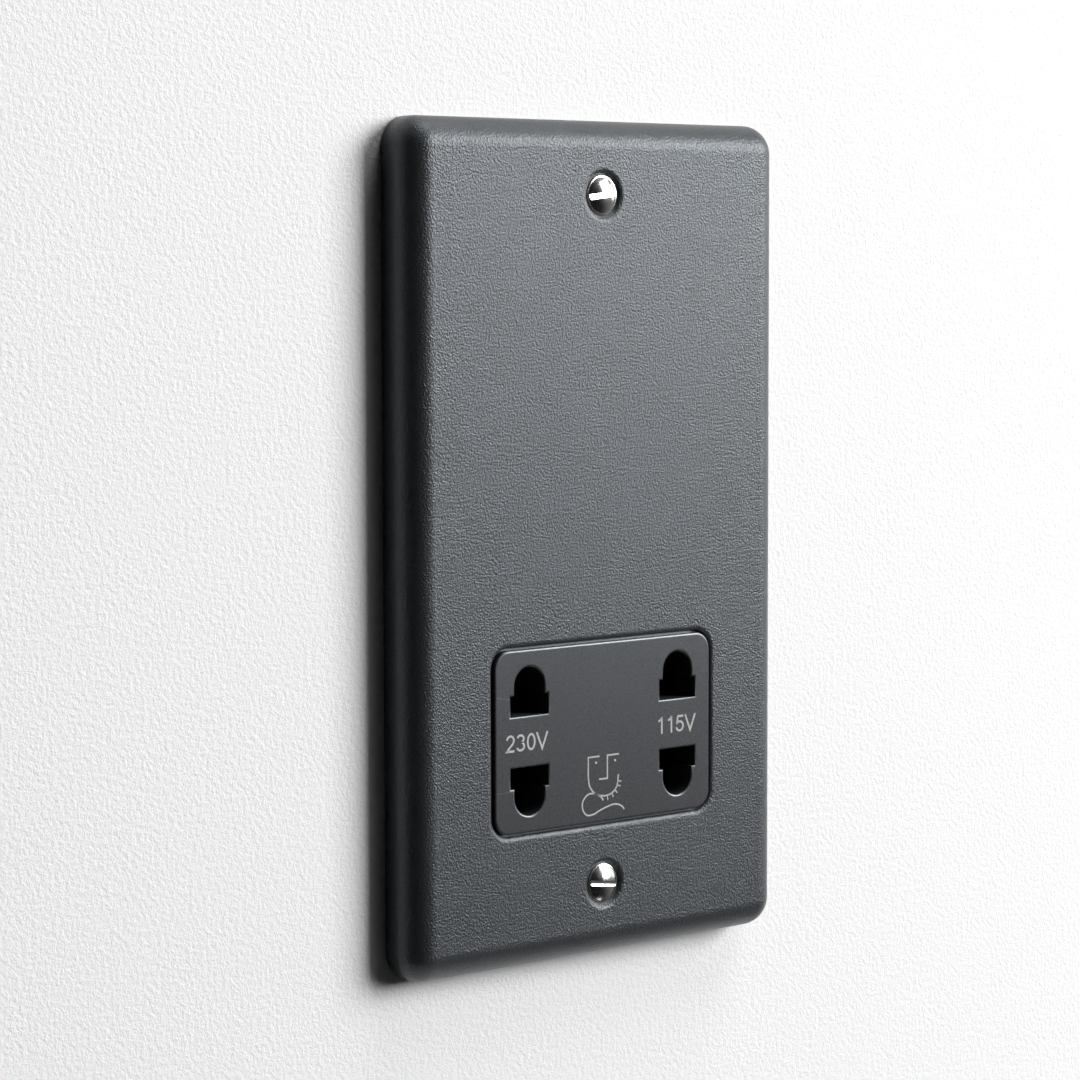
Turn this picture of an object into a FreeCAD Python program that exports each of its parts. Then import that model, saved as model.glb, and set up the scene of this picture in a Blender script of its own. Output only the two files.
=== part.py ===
import FreeCAD, Part
import math
import os

import Sketcher

# Dual voltage shaver socket for a two gang wall box, standing upright.
# Frame: X to the right, Y into the wall, Z up. The wall plane is y = 0 and holds the rear rim of
# the front plate; the origin lies midway between the two fixing screws. Lengths are millimetres.

SIZES = {
    # front plate, one steel pressing with rolled edges
    "plate_end": 12.95,
    "plate_depth": 7.8,
    "sheet_gauge": 1.2,
    "edge_roll": 5.0,
    "cutout_lip": 0.6,
    "dimple_lip": 1.2,
    # fixing screws and their places
    "fixing_pitch": 120.6,
    "thread_diameter": 3.5,
    "head_diameter": 7.0,
    "head_sink": 0.5,
    "head_rim": 0.2,
    "head_crown": 0.9,
    "rim_chamfer": 0.4,
    "rim_chamfer_rise": 0.13,
    "screw_length": 35.0,
    "neck_diameter": 3.1,
    "thread_runout": 0.5,
    "driver_slot_width": 1.0,
    "driver_slot_depth": 0.9,
    "upper_slot_angle": 7.0,
    "lower_slot_angle": -7.0,
    "hole_clearance": 0.25,
    "hole_land": 1.0,
    # weld studs behind the plate, with their thin nuts
    "stud_x": 24.0,
    "stud_rise": 0.2,
    "stud_diameter": 3.0,
    "nut_across_flats": 5.5,
    "nut_height": 1.8,
    "stud_show": 0.2,
    # moulded socket face in the plate's cut-out
    "face_side_room": 3.525,
    "face_end_room": 2.95,
    "face_corner": 3.2,
    "face_rise": 26.9,
    "face_gap": 0.4,
    "face_proud": 0.15,
    "face_skin": 2.5,
    "face_edge": 0.25,
    "flange_width": 2.2,
    "flange_thickness": 1.5,
    "tunnel_depth": 5.2,
    "tunnel_wall": 1.2,
    # pin openings, each an arch outwards from a wider blade slot
    "opening_x": 17.35,
    "blade_width": 8.55,
    "blade_inner": 4.42,
    "blade_outer": 8.05,
    "arch_radius": 3.4,
    "arch_centre": 9.55,
    # moulded inner frame with the shutter tray
    "frame_side_room": 5.8,
    "frame_end_room": 6.05,
    "frame_corner": 4.0,
    "frame_thickness": 1.8,
    "moulding_gap": 0.05,
    "slide_gap": 0.3,
    "shutter_travel": 8.0,
    "shutter_half": 22.0,
    "shutter_depth": 6.0,
    "shutter_base": 1.6,
    "shutter_rail": 1.2,
    "ramp_land": 1.4,
    "tray_margin": 0.4,
    "tray_wall": 1.4,
    "tray_room": 0.2,
    "tray_floor": 2.0,
    # folded strip spring that brings the shutter back to the middle
    "centring_spring_length": 20.0,
    "centring_spring_height": 4.0,
    "centring_spring_width": 3.6,
    "spring_strip": 0.4,
    "spring_stop": 1.0,
    "spring_stop_height": 2.0,
    # contacts of folded strip
    "strip_thickness": 0.5,
    "contact_width": 7.1,
    "contact_base_half": 3.2,
    "contact_waist_half": 1.9,
    "contact_mouth_half": 3.4,
    "contact_waist_depth": 2.0,
    "contact_length": 6.6,
    "contact_leg_width": 2.0,
    "pocket_wall": 1.2,
    "pocket_gap": 0.4,
    "pocket_height": 8.6,
    # pusher that feels the pins, with its return springs and switch
    "pusher_travel": 1.5,
    "pusher_thickness": 2.0,
    "pusher_arm": 3.5,
    "finger_width": 2.6,
    "finger_height": 5.0,
    "finger_reach": 5.3,
    "guide_x": 10.5,
    "guide_diameter": 3.0,
    "return_spring_x": 14.0,
    "return_spring_height": 2.6,
    "return_spring_width": 4.0,
    "pusher_web_height": 5.8,
    "switch_length": 12.8,
    "switch_width": 5.8,
    "switch_height": 6.3,
    "plunger_diameter": 2.4,
    "plunger_grip": 3.6,
    # circuit board
    "board_thickness": 1.6,
    "board_half_width": 30.0,
    "board_top": 6.5,
    "post_x": 27.0,
    "post_diameter": 5.0,
    "post_bore_depth": 7.5,
    "board_screw_head": 4.0,
    "board_screw_head_height": 1.4,
    "board_screw_shank": 2.0,
    "board_screw_reach": 5.0,
    # moulded rear housing
    "housing_ledge": 2.0,
    "housing_end_room": 7.0,
    "housing_wall": 2.0,
    "housing_corner": 4.0,
    "housing_flange": 1.5,
    "board_room": 1.5,
    "hump_room": 3.2,
    "hump_bottom": 8.0,
    "hump_bevel": 1.2,
    "vent_width": 2.4,
    "vent_length": 24.0,
    "vent_pitch": 6.0,
    # transformer of stacked laminations
    "core_width": 48.0,
    "core_room": 1.2,
    "core_stack": 22.0,
    "bobbin_wall": 1.0,
    "bobbin_gap": 0.2,
    "winding_room": 0.8,
    "winding_gap": 0.1,
    "core_rib_height": 30.0,
    "core_fence_height": 12.0,
    "cutout_length": 12.0,
    "cutout_height": 6.0,
    "cutout_thickness": 2.8,
    "lead_diameter": 1.4,
    "lead_pitch": 5.0,
    "lead_bend": 6.0,
    "lead_drop": 4.2,
    # supply terminals on the back
    "terminal_pitch": 13.0,
    "terminal_size": 8.0,
    "terminal_wall": 1.0,
    "terminal_base": 0.9,
    "block_height": 14.0,
    "wire_bore": 3.4,
    "terminal_screw_diameter": 4.0,
    "terminal_screw_slot": 0.8,
    "terminal_screw_show": 1.5,
    "leg_thickness": 0.8,
    "leg_width": 3.0,
    # earth strap from the plate to its terminal
    "earth_stud_x": 24.0,
    "earth_stud_z": 2.0,
    "strap_width": 6.0,
    "strap_thickness": 0.5,
    "strap_end_reach": 3.85,
}

# Lengths that follow from others: each casing fits round what it holds, with a named room

FITTED = {
    "stud_z": "=fixing_pitch / 2 + stud_rise",
    "face_drop": "=fixing_pitch / 2 - face_rise",
    "plate_height": "=fixing_pitch + plate_end * 2",
    "face_width": "=(opening_x + blade_width / 2 + face_side_room) * 2",
    "face_height": "=(arch_centre + arch_radius + face_end_room) * 2",
    "frame_front": "=sheet_gauge + flange_thickness + moulding_gap * 2 - plate_depth",
    "frame_rear": "=frame_front + frame_thickness",
    "frame_height": "=plate_height - (sheet_gauge + frame_end_room) * 2",
    "housing_height": "=(stud_z - housing_end_room) * 2",
    "core_height": "=housing_height / 2 - hump_bottom - housing_wall * 2 - slide_gap - core_room",
    "winding_build": "=core_width / 6 - bobbin_gap - bobbin_wall - winding_room",
    "winding_reach": "=core_stack / 2 + bobbin_gap + bobbin_wall + winding_gap + winding_build",
    "core_middle": "=frame_rear + moulding_gap * 2 + cutout_thickness + winding_reach",
    "upper_depth": "=core_middle + winding_reach + hump_room + housing_wall",
    "tray_reach": "=shutter_half + shutter_travel + tray_margin + tray_wall",
    "housing_width": "=(tray_reach + tray_room + housing_wall) * 2",
    "frame_width": "=housing_width + housing_ledge * 2",
    "plate_width": "=frame_width + (sheet_gauge + frame_side_room) * 2",
}

doc = FreeCAD.newDocument("ShaverSocket")
sheet = doc.addObject("Spreadsheet::Sheet", "Dims")
for row, (name, entry) in enumerate({**SIZES, **FITTED}.items(), start=1):
    sheet.set(f"A{row}", name)
    sheet.set(f"B{row}", str(entry))
    sheet.setAlias(f"B{row}", name)
doc.recompute()


class Size:
    """A length that knows its value now and the sheet formula that gives it."""

    def __init__(self, value, formula=None):
        self.value = float(value)
        self.formula = formula if formula else repr(float(value))

    def __add__(self, other):
        other = as_size(other)
        return Size(self.value + other.value, f"({self.formula} + {other.formula})")

    def __sub__(self, other):
        other = as_size(other)
        return Size(self.value - other.value, f"({self.formula} - {other.formula})")

    def __rsub__(self, other):
        return as_size(other) - self

    def __mul__(self, factor):
        factor = as_size(factor)
        return Size(self.value * factor.value, f"({self.formula} * {factor.formula})")

    def __truediv__(self, factor):
        factor = as_size(factor)
        return Size(self.value / factor.value, f"({self.formula} / {factor.formula})")

    def __neg__(self):
        return Size(-self.value, f"(-1 * {self.formula})")

    __radd__ = __add__
    __rmul__ = __mul__


def as_size(length):
    return length if isinstance(length, Size) else Size(length)


class Sheet:
    """Each named size of the spreadsheet as a Size."""

    def __getattr__(self, name):
        return Size(sheet.get(name), f"Dims.{name}")


S = Sheet()
DIAGONAL = 2 ** 0.5
ZERO = Size(0)
SIDES = (-1, 1)

PLANE_NORMALS = {"XZ_Plane": -1, "XY_Plane": 1, "YZ_Plane": 1}


def bind(thing, path, length):
    """Tie a property to its formula."""
    thing.setExpression(path, as_size(length).formula)


def origin_item(body, role):
    return next(item for item in body.Origin.OriginFeatures if item.Role == role)


def new_body(label):
    body = doc.addObject("PartDesign::Body", label)
    body.Label = label
    return body


def new_sketch(body, name, plane, level, shift=(ZERO, ZERO)):
    """A sketch parallel to an origin plane, at a level along that plane's world axis."""
    sketch = body.newObject("Sketcher::SketchObject", name)
    sketch.AttachmentSupport = (origin_item(body, plane), [""])
    sketch.MapMode = "FlatFace"
    bind(sketch, "AttachmentOffset.Base.x", shift[0])
    bind(sketch, "AttachmentOffset.Base.y", shift[1])
    bind(sketch, "AttachmentOffset.Base.z", as_size(level) * PLANE_NORMALS[plane])
    return sketch


def hold(sketch, kind, places, length):
    """Add a dimension to a sketch and tie it to its formula."""
    length = as_size(length)
    index = sketch.addConstraint(Sketcher.Constraint(kind, *places, length.value))
    sketch.setExpression(f"Constraints[{index}]", length.formula)


def point(x, y):
    return FreeCAD.Vector(as_size(x).value, as_size(y).value, 0)


def add_polygon(sketch, corners):
    """A closed outline with straight sides, each corner held by its two coordinates."""
    first = sketch.GeometryCount
    count = len(corners)
    for index, corner in enumerate(corners):
        following = corners[(index + 1) % count]
        sketch.addGeometry(Part.LineSegment(point(*corner), point(*following)), False)
    for index, (x, y) in enumerate(corners):
        here = first + index
        before = first + (index - 1) % count
        sketch.addConstraint(Sketcher.Constraint("Coincident", before, 2, here, 1))
        hold(sketch, "DistanceX", (-1, 1, here, 1), x)
        hold(sketch, "DistanceY", (-1, 1, here, 1), y)


def add_rectangle(sketch, centre, width, height):
    x, y = (as_size(value) for value in centre)
    half_width, half_height = as_size(width) / 2, as_size(height) / 2
    signs = ((-1, -1), (1, -1), (1, 1), (-1, 1))
    add_polygon(sketch, [(x + half_width * i, y + half_height * j) for i, j in signs])


def add_rounded(sketch, width, height, radius):
    """A rectangle about the sketch's origin with equal rounded corners."""
    width, height, radius = as_size(width), as_size(height), as_size(radius)
    first = sketch.GeometryCount
    half = FreeCAD.Vector(width.value / 2, height.value / 2, 0)
    inner = half - FreeCAD.Vector(radius.value, radius.value, 0)
    up = FreeCAD.Vector(0, 0, 1)
    quarter = math.pi / 2
    corners = ((1, 1), (-1, 1), (-1, -1), (1, -1))
    for index, (i, j) in enumerate(corners):
        centre = FreeCAD.Vector(inner.x * i, inner.y * j, 0)
        circle = Part.Circle(centre, up, radius.value)
        sketch.addGeometry(Part.ArcOfCircle(circle, index * quarter, (index + 1) * quarter), False)
    for index in range(4):
        arc, following = sketch.Geometry[first + index], sketch.Geometry[first + (index + 1) % 4]
        sketch.addGeometry(Part.LineSegment(arc.EndPoint, following.StartPoint), False)
    for index in range(4):
        arc, side, following = first + index, first + 4 + index, first + (index + 1) % 4
        sketch.addConstraint(Sketcher.Constraint("Tangent", arc, 2, side, 1))
        sketch.addConstraint(Sketcher.Constraint("Tangent", side, 2, following, 1))
        level = "Horizontal" if index % 2 == 0 else "Vertical"
        sketch.addConstraint(Sketcher.Constraint(level, side))
    for index in range(1, 4):
        sketch.addConstraint(Sketcher.Constraint("Equal", first, first + index))
    hold(sketch, "Radius", (first,), radius)
    hold(sketch, "DistanceX", (-1, 1, first, 3), width / 2 - radius)
    hold(sketch, "DistanceY", (-1, 1, first, 3), height / 2 - radius)
    hold(sketch, "DistanceX", (first + 2, 3, -1, 1), width / 2 - radius)
    hold(sketch, "DistanceY", (first + 2, 3, -1, 1), height / 2 - radius)


def add_circle(sketch, x, y, radius):
    index = sketch.addGeometry(Part.Circle(point(x, y), FreeCAD.Vector(0, 0, 1),
                                           as_size(radius).value), False)
    hold(sketch, "Radius", (index,), radius)
    hold(sketch, "DistanceX", (-1, 1, index, 3), x)
    hold(sketch, "DistanceY", (-1, 1, index, 3), y)


def add_keyhole(sketch, side, lift, gap):
    """A pin opening: a blade slot with an arch on the side away from the middle."""
    x = S.opening_x * side
    half_blade = S.blade_width / 2 + gap
    radius = S.arch_radius + gap
    inner = (S.blade_inner - gap) * lift
    outer = (S.blade_outer + gap) * lift
    centre = S.arch_centre * lift
    corners = [(x + radius, centre), (x + radius, outer), (x + half_blade, outer),
               (x + half_blade, inner), (x - half_blade, inner), (x - half_blade, outer),
               (x - radius, outer), (x - radius, centre)]
    first = sketch.GeometryCount
    for start, end in zip(corners, corners[1:]):
        sketch.addGeometry(Part.LineSegment(point(*start), point(*end)), False)
    last = first + len(corners) - 2
    for index in range(first, last):
        sketch.addConstraint(Sketcher.Constraint("Coincident", index, 2, index + 1, 1))
    for index, (across, along) in enumerate(corners[:-1]):
        hold(sketch, "DistanceX", (-1, 1, first + index, 1), across)
        hold(sketch, "DistanceY", (-1, 1, first + index, 1), along)
    hold(sketch, "DistanceX", (-1, 1, last, 2), corners[-1][0])
    hold(sketch, "DistanceY", (-1, 1, last, 2), corners[-1][1])
    circle = Part.Circle(point(x, centre), FreeCAD.Vector(0, 0, 1), radius.value)
    half_turn = math.pi if lift < 0 else 0
    arch = sketch.addGeometry(Part.ArcOfCircle(circle, half_turn, half_turn + math.pi), False)
    right_end, left_end = (1, 2) if lift > 0 else (2, 1)
    sketch.addConstraint(Sketcher.Constraint("Coincident", last, 2, arch, left_end))
    sketch.addConstraint(Sketcher.Constraint("Coincident", first, 1, arch, right_end))
    hold(sketch, "DistanceY", (-1, 1, arch, 3), centre)


def checked(feature, before, grows):
    """Recompute and make sure that the feature added or removed material."""
    doc.recompute()
    volume = feature.Shape.Volume
    changed = volume > before if grows else volume < before
    if "Invalid" in feature.State or not changed:
        raise RuntimeError(f"{feature.Label} changed nothing")
    return feature


def solid_volume(body):
    return body.Tip.Shape.Volume if body.Tip and not body.Tip.Shape.isNull() else 0.0


def pad(body, sketch, length, midplane=False, reverse=False):
    """Add material from the sketch along its normal."""
    doc.recompute()
    before = solid_volume(body)
    feature = body.newObject("PartDesign::Pad", sketch.Name + "Pad")
    feature.Profile = sketch
    bind(feature, "Length", length)
    feature.Midplane = midplane
    feature.Reversed = reverse
    feature.Refine = True
    sketch.Visibility = False
    return checked(feature, before, True)


def pocket(body, sketch, length, midplane=False, reverse=False):
    """Remove material from the sketch against its normal."""
    doc.recompute()
    before = solid_volume(body)
    feature = body.newObject("PartDesign::Pocket", sketch.Name + "Pocket")
    feature.Profile = sketch
    bind(feature, "Length", length)
    feature.Midplane = midplane
    feature.Reversed = reverse
    feature.Refine = True
    sketch.Visibility = False
    return checked(feature, before, False)


def turn(body, sketch, kind="Revolution"):
    """Revolve the sketch once round its own horizontal axis, adding or cutting."""
    doc.recompute()
    before = solid_volume(body)
    feature = body.newObject(f"PartDesign::{kind}", sketch.Name + kind)
    feature.Profile = sketch
    feature.ReferenceAxis = (sketch, ["H_Axis"])
    feature.Angle = 360
    feature.Refine = True
    sketch.Visibility = False
    return checked(feature, before, kind == "Revolution")


def round_edges(body, name, radius, wanted):
    """Fillet the tip's edges for which wanted(edge) holds."""
    doc.recompute()
    base = body.Tip
    names = [f"Edge{index}" for index, edge in enumerate(base.Shape.Edges, start=1) if wanted(edge)]
    if not names:
        raise RuntimeError(f"{name} found no edge")
    feature = body.newObject("PartDesign::Fillet", name)
    feature.Base = (base, names)
    bind(feature, "Radius", radius)
    doc.recompute()
    if "Invalid" in feature.State or not feature.Shape.isValid():
        raise RuntimeError(f"{name} failed")
    return feature


def bevel_edges(body, name, size, wanted):
    """Chamfer the tip's edges for which wanted(edge) holds."""
    doc.recompute()
    base = body.Tip
    names = [f"Edge{index}" for index, edge in enumerate(base.Shape.Edges, start=1) if wanted(edge)]
    if not names:
        raise RuntimeError(f"{name} found no edge")
    feature = body.newObject("PartDesign::Chamfer", name)
    feature.Base = (base, names)
    bind(feature, "Size", size)
    doc.recompute()
    if "Invalid" in feature.State or not feature.Shape.isValid():
        raise RuntimeError(f"{name} failed")
    return feature


def lies_at(edge, axis, level):
    """True if the whole edge lies in the plane at that level of the axis."""
    box = edge.BoundBox
    low, high = (getattr(box, axis + "Min"), getattr(box, axis + "Max"))
    return abs(low - level.value) < 0.02 and abs(high - level.value) < 0.02


def runs_along(edge, axis):
    """True for a straight edge parallel to the axis."""
    if not isinstance(edge.Curve, Part.Line):
        return False
    return abs(getattr(edge.Curve.Direction, axis)) > 0.999


def slab(body, name, front, rear, draw, shift=(ZERO, ZERO)):
    """Add what draw(sketch) outlines, seen from the front, between two levels of y."""
    sketch = new_sketch(body, name, "XZ_Plane", rear, shift)
    draw(sketch)
    return pad(body, sketch, as_size(rear) - front)


def hollow(body, name, front, rear, draw, shift=(ZERO, ZERO)):
    """Cut what draw(sketch) outlines, seen from the front, between two levels of y."""
    sketch = new_sketch(body, name, "XZ_Plane", front, shift)
    draw(sketch)
    return pocket(body, sketch, as_size(rear) - front)


def box(name, x, y, z):
    """A block between two corners, given as pairs along X, Y and Z."""
    block = doc.addObject("Part::Box", name)
    for size, axis, (low, high) in zip(("Length", "Width", "Height"), "xyz", (x, y, z)):
        bind(block, size, as_size(high) - low)
        bind(block, f"Placement.Base.{axis}", low)
    return block


TURNS = {
    "x": FreeCAD.Rotation(FreeCAD.Vector(0, 1, 0), 90),
    "y": FreeCAD.Rotation(FreeCAD.Vector(1, 0, 0), -90),
    "z": FreeCAD.Rotation(),
}


def rod(name, axis, place, radius, length):
    """A round bar that starts at place and runs along +axis."""
    bar = doc.addObject("Part::Cylinder", name)
    bar.Placement = FreeCAD.Placement(FreeCAD.Vector(), TURNS[axis])
    bind(bar, "Radius", radius)
    bind(bar, "Height", length)
    for letter, start in zip("xyz", place):
        bind(bar, f"Placement.Base.{letter}", start)
    return bar


def fuse(name, pieces):
    union = doc.addObject("Part::MultiFuse", name)
    union.Shapes = pieces
    union.Refine = True
    return union


def cut(name, base, tool):
    rest = doc.addObject("Part::Cut", name)
    rest.Base = base
    rest.Tool = tool
    rest.Refine = True
    return rest


def group(name, pieces):
    """Identical pieces kept as separate solids of one sub-part."""
    family = doc.addObject("Part::Compound", name)
    family.Links = pieces
    family.Label = name
    return family


# Levels along Y, from the front to the back

PLATE_FRONT = -S.plate_depth
PLATE_INNER = PLATE_FRONT + S.sheet_gauge
SEAT = PLATE_FRONT + S.head_sink + S.head_rim
HOLE_RADIUS = S.thread_diameter / 2 + S.hole_clearance
FACE_FRONT = PLATE_FRONT - S.face_proud
FLANGE_FRONT = PLATE_INNER + S.moulding_gap
FLANGE_REAR = FLANGE_FRONT + S.flange_thickness
TUNNEL_REAR = FACE_FRONT + S.tunnel_depth
FRAME_FRONT = S.frame_front
FRAME_REAR = S.frame_rear
SHUTTER_FRONT = TUNNEL_REAR + S.slide_gap
SHUTTER_REAR = SHUTTER_FRONT + S.shutter_depth
FLOOR_FRONT = SHUTTER_REAR + S.slide_gap
FLOOR_REAR = FLOOR_FRONT + S.tray_floor
CONTACT_REAR = FLOOR_REAR + S.slide_gap + S.contact_length + S.strip_thickness
POCKET_REAR = FLOOR_REAR + S.pocket_height
PUSHER_FRONT = POCKET_REAR + S.slide_gap
PUSHER_REAR = PUSHER_FRONT + S.pusher_thickness
SWITCH_FRONT = PUSHER_REAR + S.pusher_travel + S.slide_gap
BOARD_FRONT = SWITCH_FRONT + S.switch_height + S.moulding_gap
BOARD_REAR = BOARD_FRONT + S.board_thickness
LOWER_DEPTH = BOARD_REAR + S.board_room + S.housing_wall
SPRING_REAR = SHUTTER_REAR - S.moulding_gap
SPRING_FRONT = SPRING_REAR - S.centring_spring_width
FLANGE_BACK = FRAME_REAR + S.housing_flange
NUT_REAR = FLANGE_BACK + S.nut_height

# Half sizes of the shutter tray, and the height of its middle

MECHANISM = -S.face_drop
TUNNEL_HALF_WIDTH = S.blade_width / 2 + S.tunnel_wall
TUNNEL_OUTER = S.arch_centre + S.arch_radius + S.tunnel_wall
TUNNEL_INNER = S.blade_inner - S.tunnel_wall
WINDOW_HALF_WIDTH = S.opening_x + TUNNEL_HALF_WIDTH + S.slide_gap
WINDOW_HALF_HEIGHT = TUNNEL_OUTER + S.slide_gap
SHUTTER_HALF_HEIGHT = WINDOW_HALF_HEIGHT + S.shutter_rail
TRAY_HALF_WIDTH = S.shutter_half + S.shutter_travel + S.tray_margin
TRAY_HALF_HEIGHT = SHUTTER_HALF_HEIGHT + S.slide_gap
CONTACT_MIDDLE = (S.blade_inner + S.arch_centre + S.arch_radius) / 2
POCKET_HALF_WIDTH = S.contact_mouth_half + S.strip_thickness + S.pocket_gap
POCKET_HALF_HEIGHT = S.contact_width / 2 + S.pocket_gap
BOARD_BOTTOM = MECHANISM - TRAY_HALF_HEIGHT - S.tray_wall

# Back of a screw dimple, and the room that it needs

BUMP_REAR = SEAT + S.head_diameter / 2 - HOLE_RADIUS + S.hole_land
DIMPLE_PASSAGE = S.head_diameter / 2 + S.sheet_gauge * DIAGONAL

# Transformer laminations, with limbs and yokes in shares of their width

CORE_LEG_HALF = S.core_width / 6
CORE_WINDOW_HALF = S.core_width / 3
CORE_YOKE = S.core_width / 6
CORE_BOTTOM = S.hump_bottom + S.housing_wall + S.slide_gap
CORE_CENTRE = CORE_BOTTOM + S.core_height / 2
CORE_LIMB_MIDDLE = (S.core_width / 2 + CORE_WINDOW_HALF) / 2
CORE_FRONT = S.core_middle - S.core_stack / 2
CORE_REAR = S.core_middle + S.core_stack / 2

# Inner face of the earth strap beside the earth terminal, and its end beyond the stud

STRAP_FACE = -S.terminal_pitch - S.terminal_size / 2 - S.moulding_gap
STRAP_END = -S.earth_stud_x - S.strap_end_reach


def build_front_plate():
    """Steel pressing: rolled edges, pierced cut-out, dimpled screw holes and weld studs."""
    body = new_body("front_plate")
    slab(body, "PlateOutline", PLATE_FRONT, ZERO,
         lambda sketch: add_rounded(sketch, S.plate_width, S.plate_height, S.edge_roll))
    round_edges(body, "RolledEdge", S.edge_roll, lambda edge: lies_at(edge, "Y", PLATE_FRONT))
    inner_roll = S.edge_roll - S.sheet_gauge
    inside = new_body("plate_inside")
    slab(inside, "InsideOutline", PLATE_INNER, S.hole_land,
         lambda sketch: add_rounded(sketch, S.plate_width - S.sheet_gauge * 2,
                                    S.plate_height - S.sheet_gauge * 2, inner_roll))
    round_edges(inside, "InnerRoll", inner_roll, lambda edge: lies_at(edge, "Y", PLATE_INNER))
    before = body.Tip.Shape.Volume
    pressing = body.newObject("PartDesign::Boolean", "PressedHollow")
    pressing.setObjects([inside])
    pressing.Type = "Cut"
    checked(pressing, before, False)

    for name, side in (("Upper", 1), ("Lower", -1)):
        height = S.fixing_pitch / 2 * side
        bump = new_sketch(body, name + "DimpleBack", "YZ_Plane", ZERO, (ZERO, height))
        add_polygon(bump, [
            (PLATE_FRONT + S.sheet_gauge / 2, ZERO),
            (PLATE_FRONT + S.sheet_gauge / 2, DIMPLE_PASSAGE - (PLATE_INNER - SEAT)),
            (PLATE_INNER, DIMPLE_PASSAGE - (PLATE_INNER - SEAT)),
            (BUMP_REAR, DIMPLE_PASSAGE - (BUMP_REAR - SEAT)),
            (BUMP_REAR, ZERO)])
        turn(body, bump)
        dish = new_sketch(body, name + "DimpleFront", "YZ_Plane", ZERO, (ZERO, height))
        mouth = PLATE_FRONT - S.hole_land
        seat_end = SEAT + S.head_diameter / 2 - HOLE_RADIUS
        add_polygon(dish, [
            (mouth, ZERO),
            (mouth, S.head_diameter / 2 + (SEAT - mouth)),
            (seat_end, HOLE_RADIUS),
            (BUMP_REAR + S.hole_land, HOLE_RADIUS),
            (BUMP_REAR + S.hole_land, ZERO)])
        turn(body, dish, "Groove")
    hollow(body, "FaceCutout", PLATE_FRONT, PLATE_INNER,
           lambda sketch: add_rounded(sketch, S.face_width + S.face_gap * 2,
                                      S.face_height + S.face_gap * 2, S.face_corner + S.face_gap),
           (ZERO, MECHANISM))

    reach = S.plate_width / 2 - S.edge_roll - S.hole_land

    def lip_of_cutout(edge):
        box_of_edge = edge.BoundBox
        return (lies_at(edge, "Y", PLATE_FRONT) and abs(box_of_edge.XMax) < reach.value
                and abs(box_of_edge.ZMax) < S.fixing_pitch.value / 2 - S.head_diameter.value)

    def lip_of_dimple(edge):
        box_of_edge = edge.BoundBox
        return (lies_at(edge, "Y", PLATE_FRONT) and abs(box_of_edge.XMax) < S.head_diameter.value
                and abs(box_of_edge.ZMax) > S.fixing_pitch.value / 2 - S.head_diameter.value
                and box_of_edge.ZLength < 2 * S.head_diameter.value)

    bevel_edges(body, "CutoutLip", S.cutout_lip, lip_of_cutout)
    bevel_edges(body, "DimpleLips", S.dimple_lip, lip_of_dimple)

    def draw_studs(sketch):
        for i in SIDES:
            for j in SIDES:
                add_circle(sketch, S.stud_x * i, S.stud_z * j, S.stud_diameter / 2)

    slab(body, "WeldStuds", PLATE_INNER - S.sheet_gauge / 2, NUT_REAR + S.stud_show, draw_studs)
    earth_nut_rear = PLATE_INNER + S.strap_thickness + S.nut_height
    slab(body, "EarthStud", PLATE_INNER - S.sheet_gauge / 2, earth_nut_rear + S.stud_show,
         lambda sketch: add_circle(sketch, -S.earth_stud_x, -S.earth_stud_z, S.stud_diameter / 2))
    return body


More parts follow.
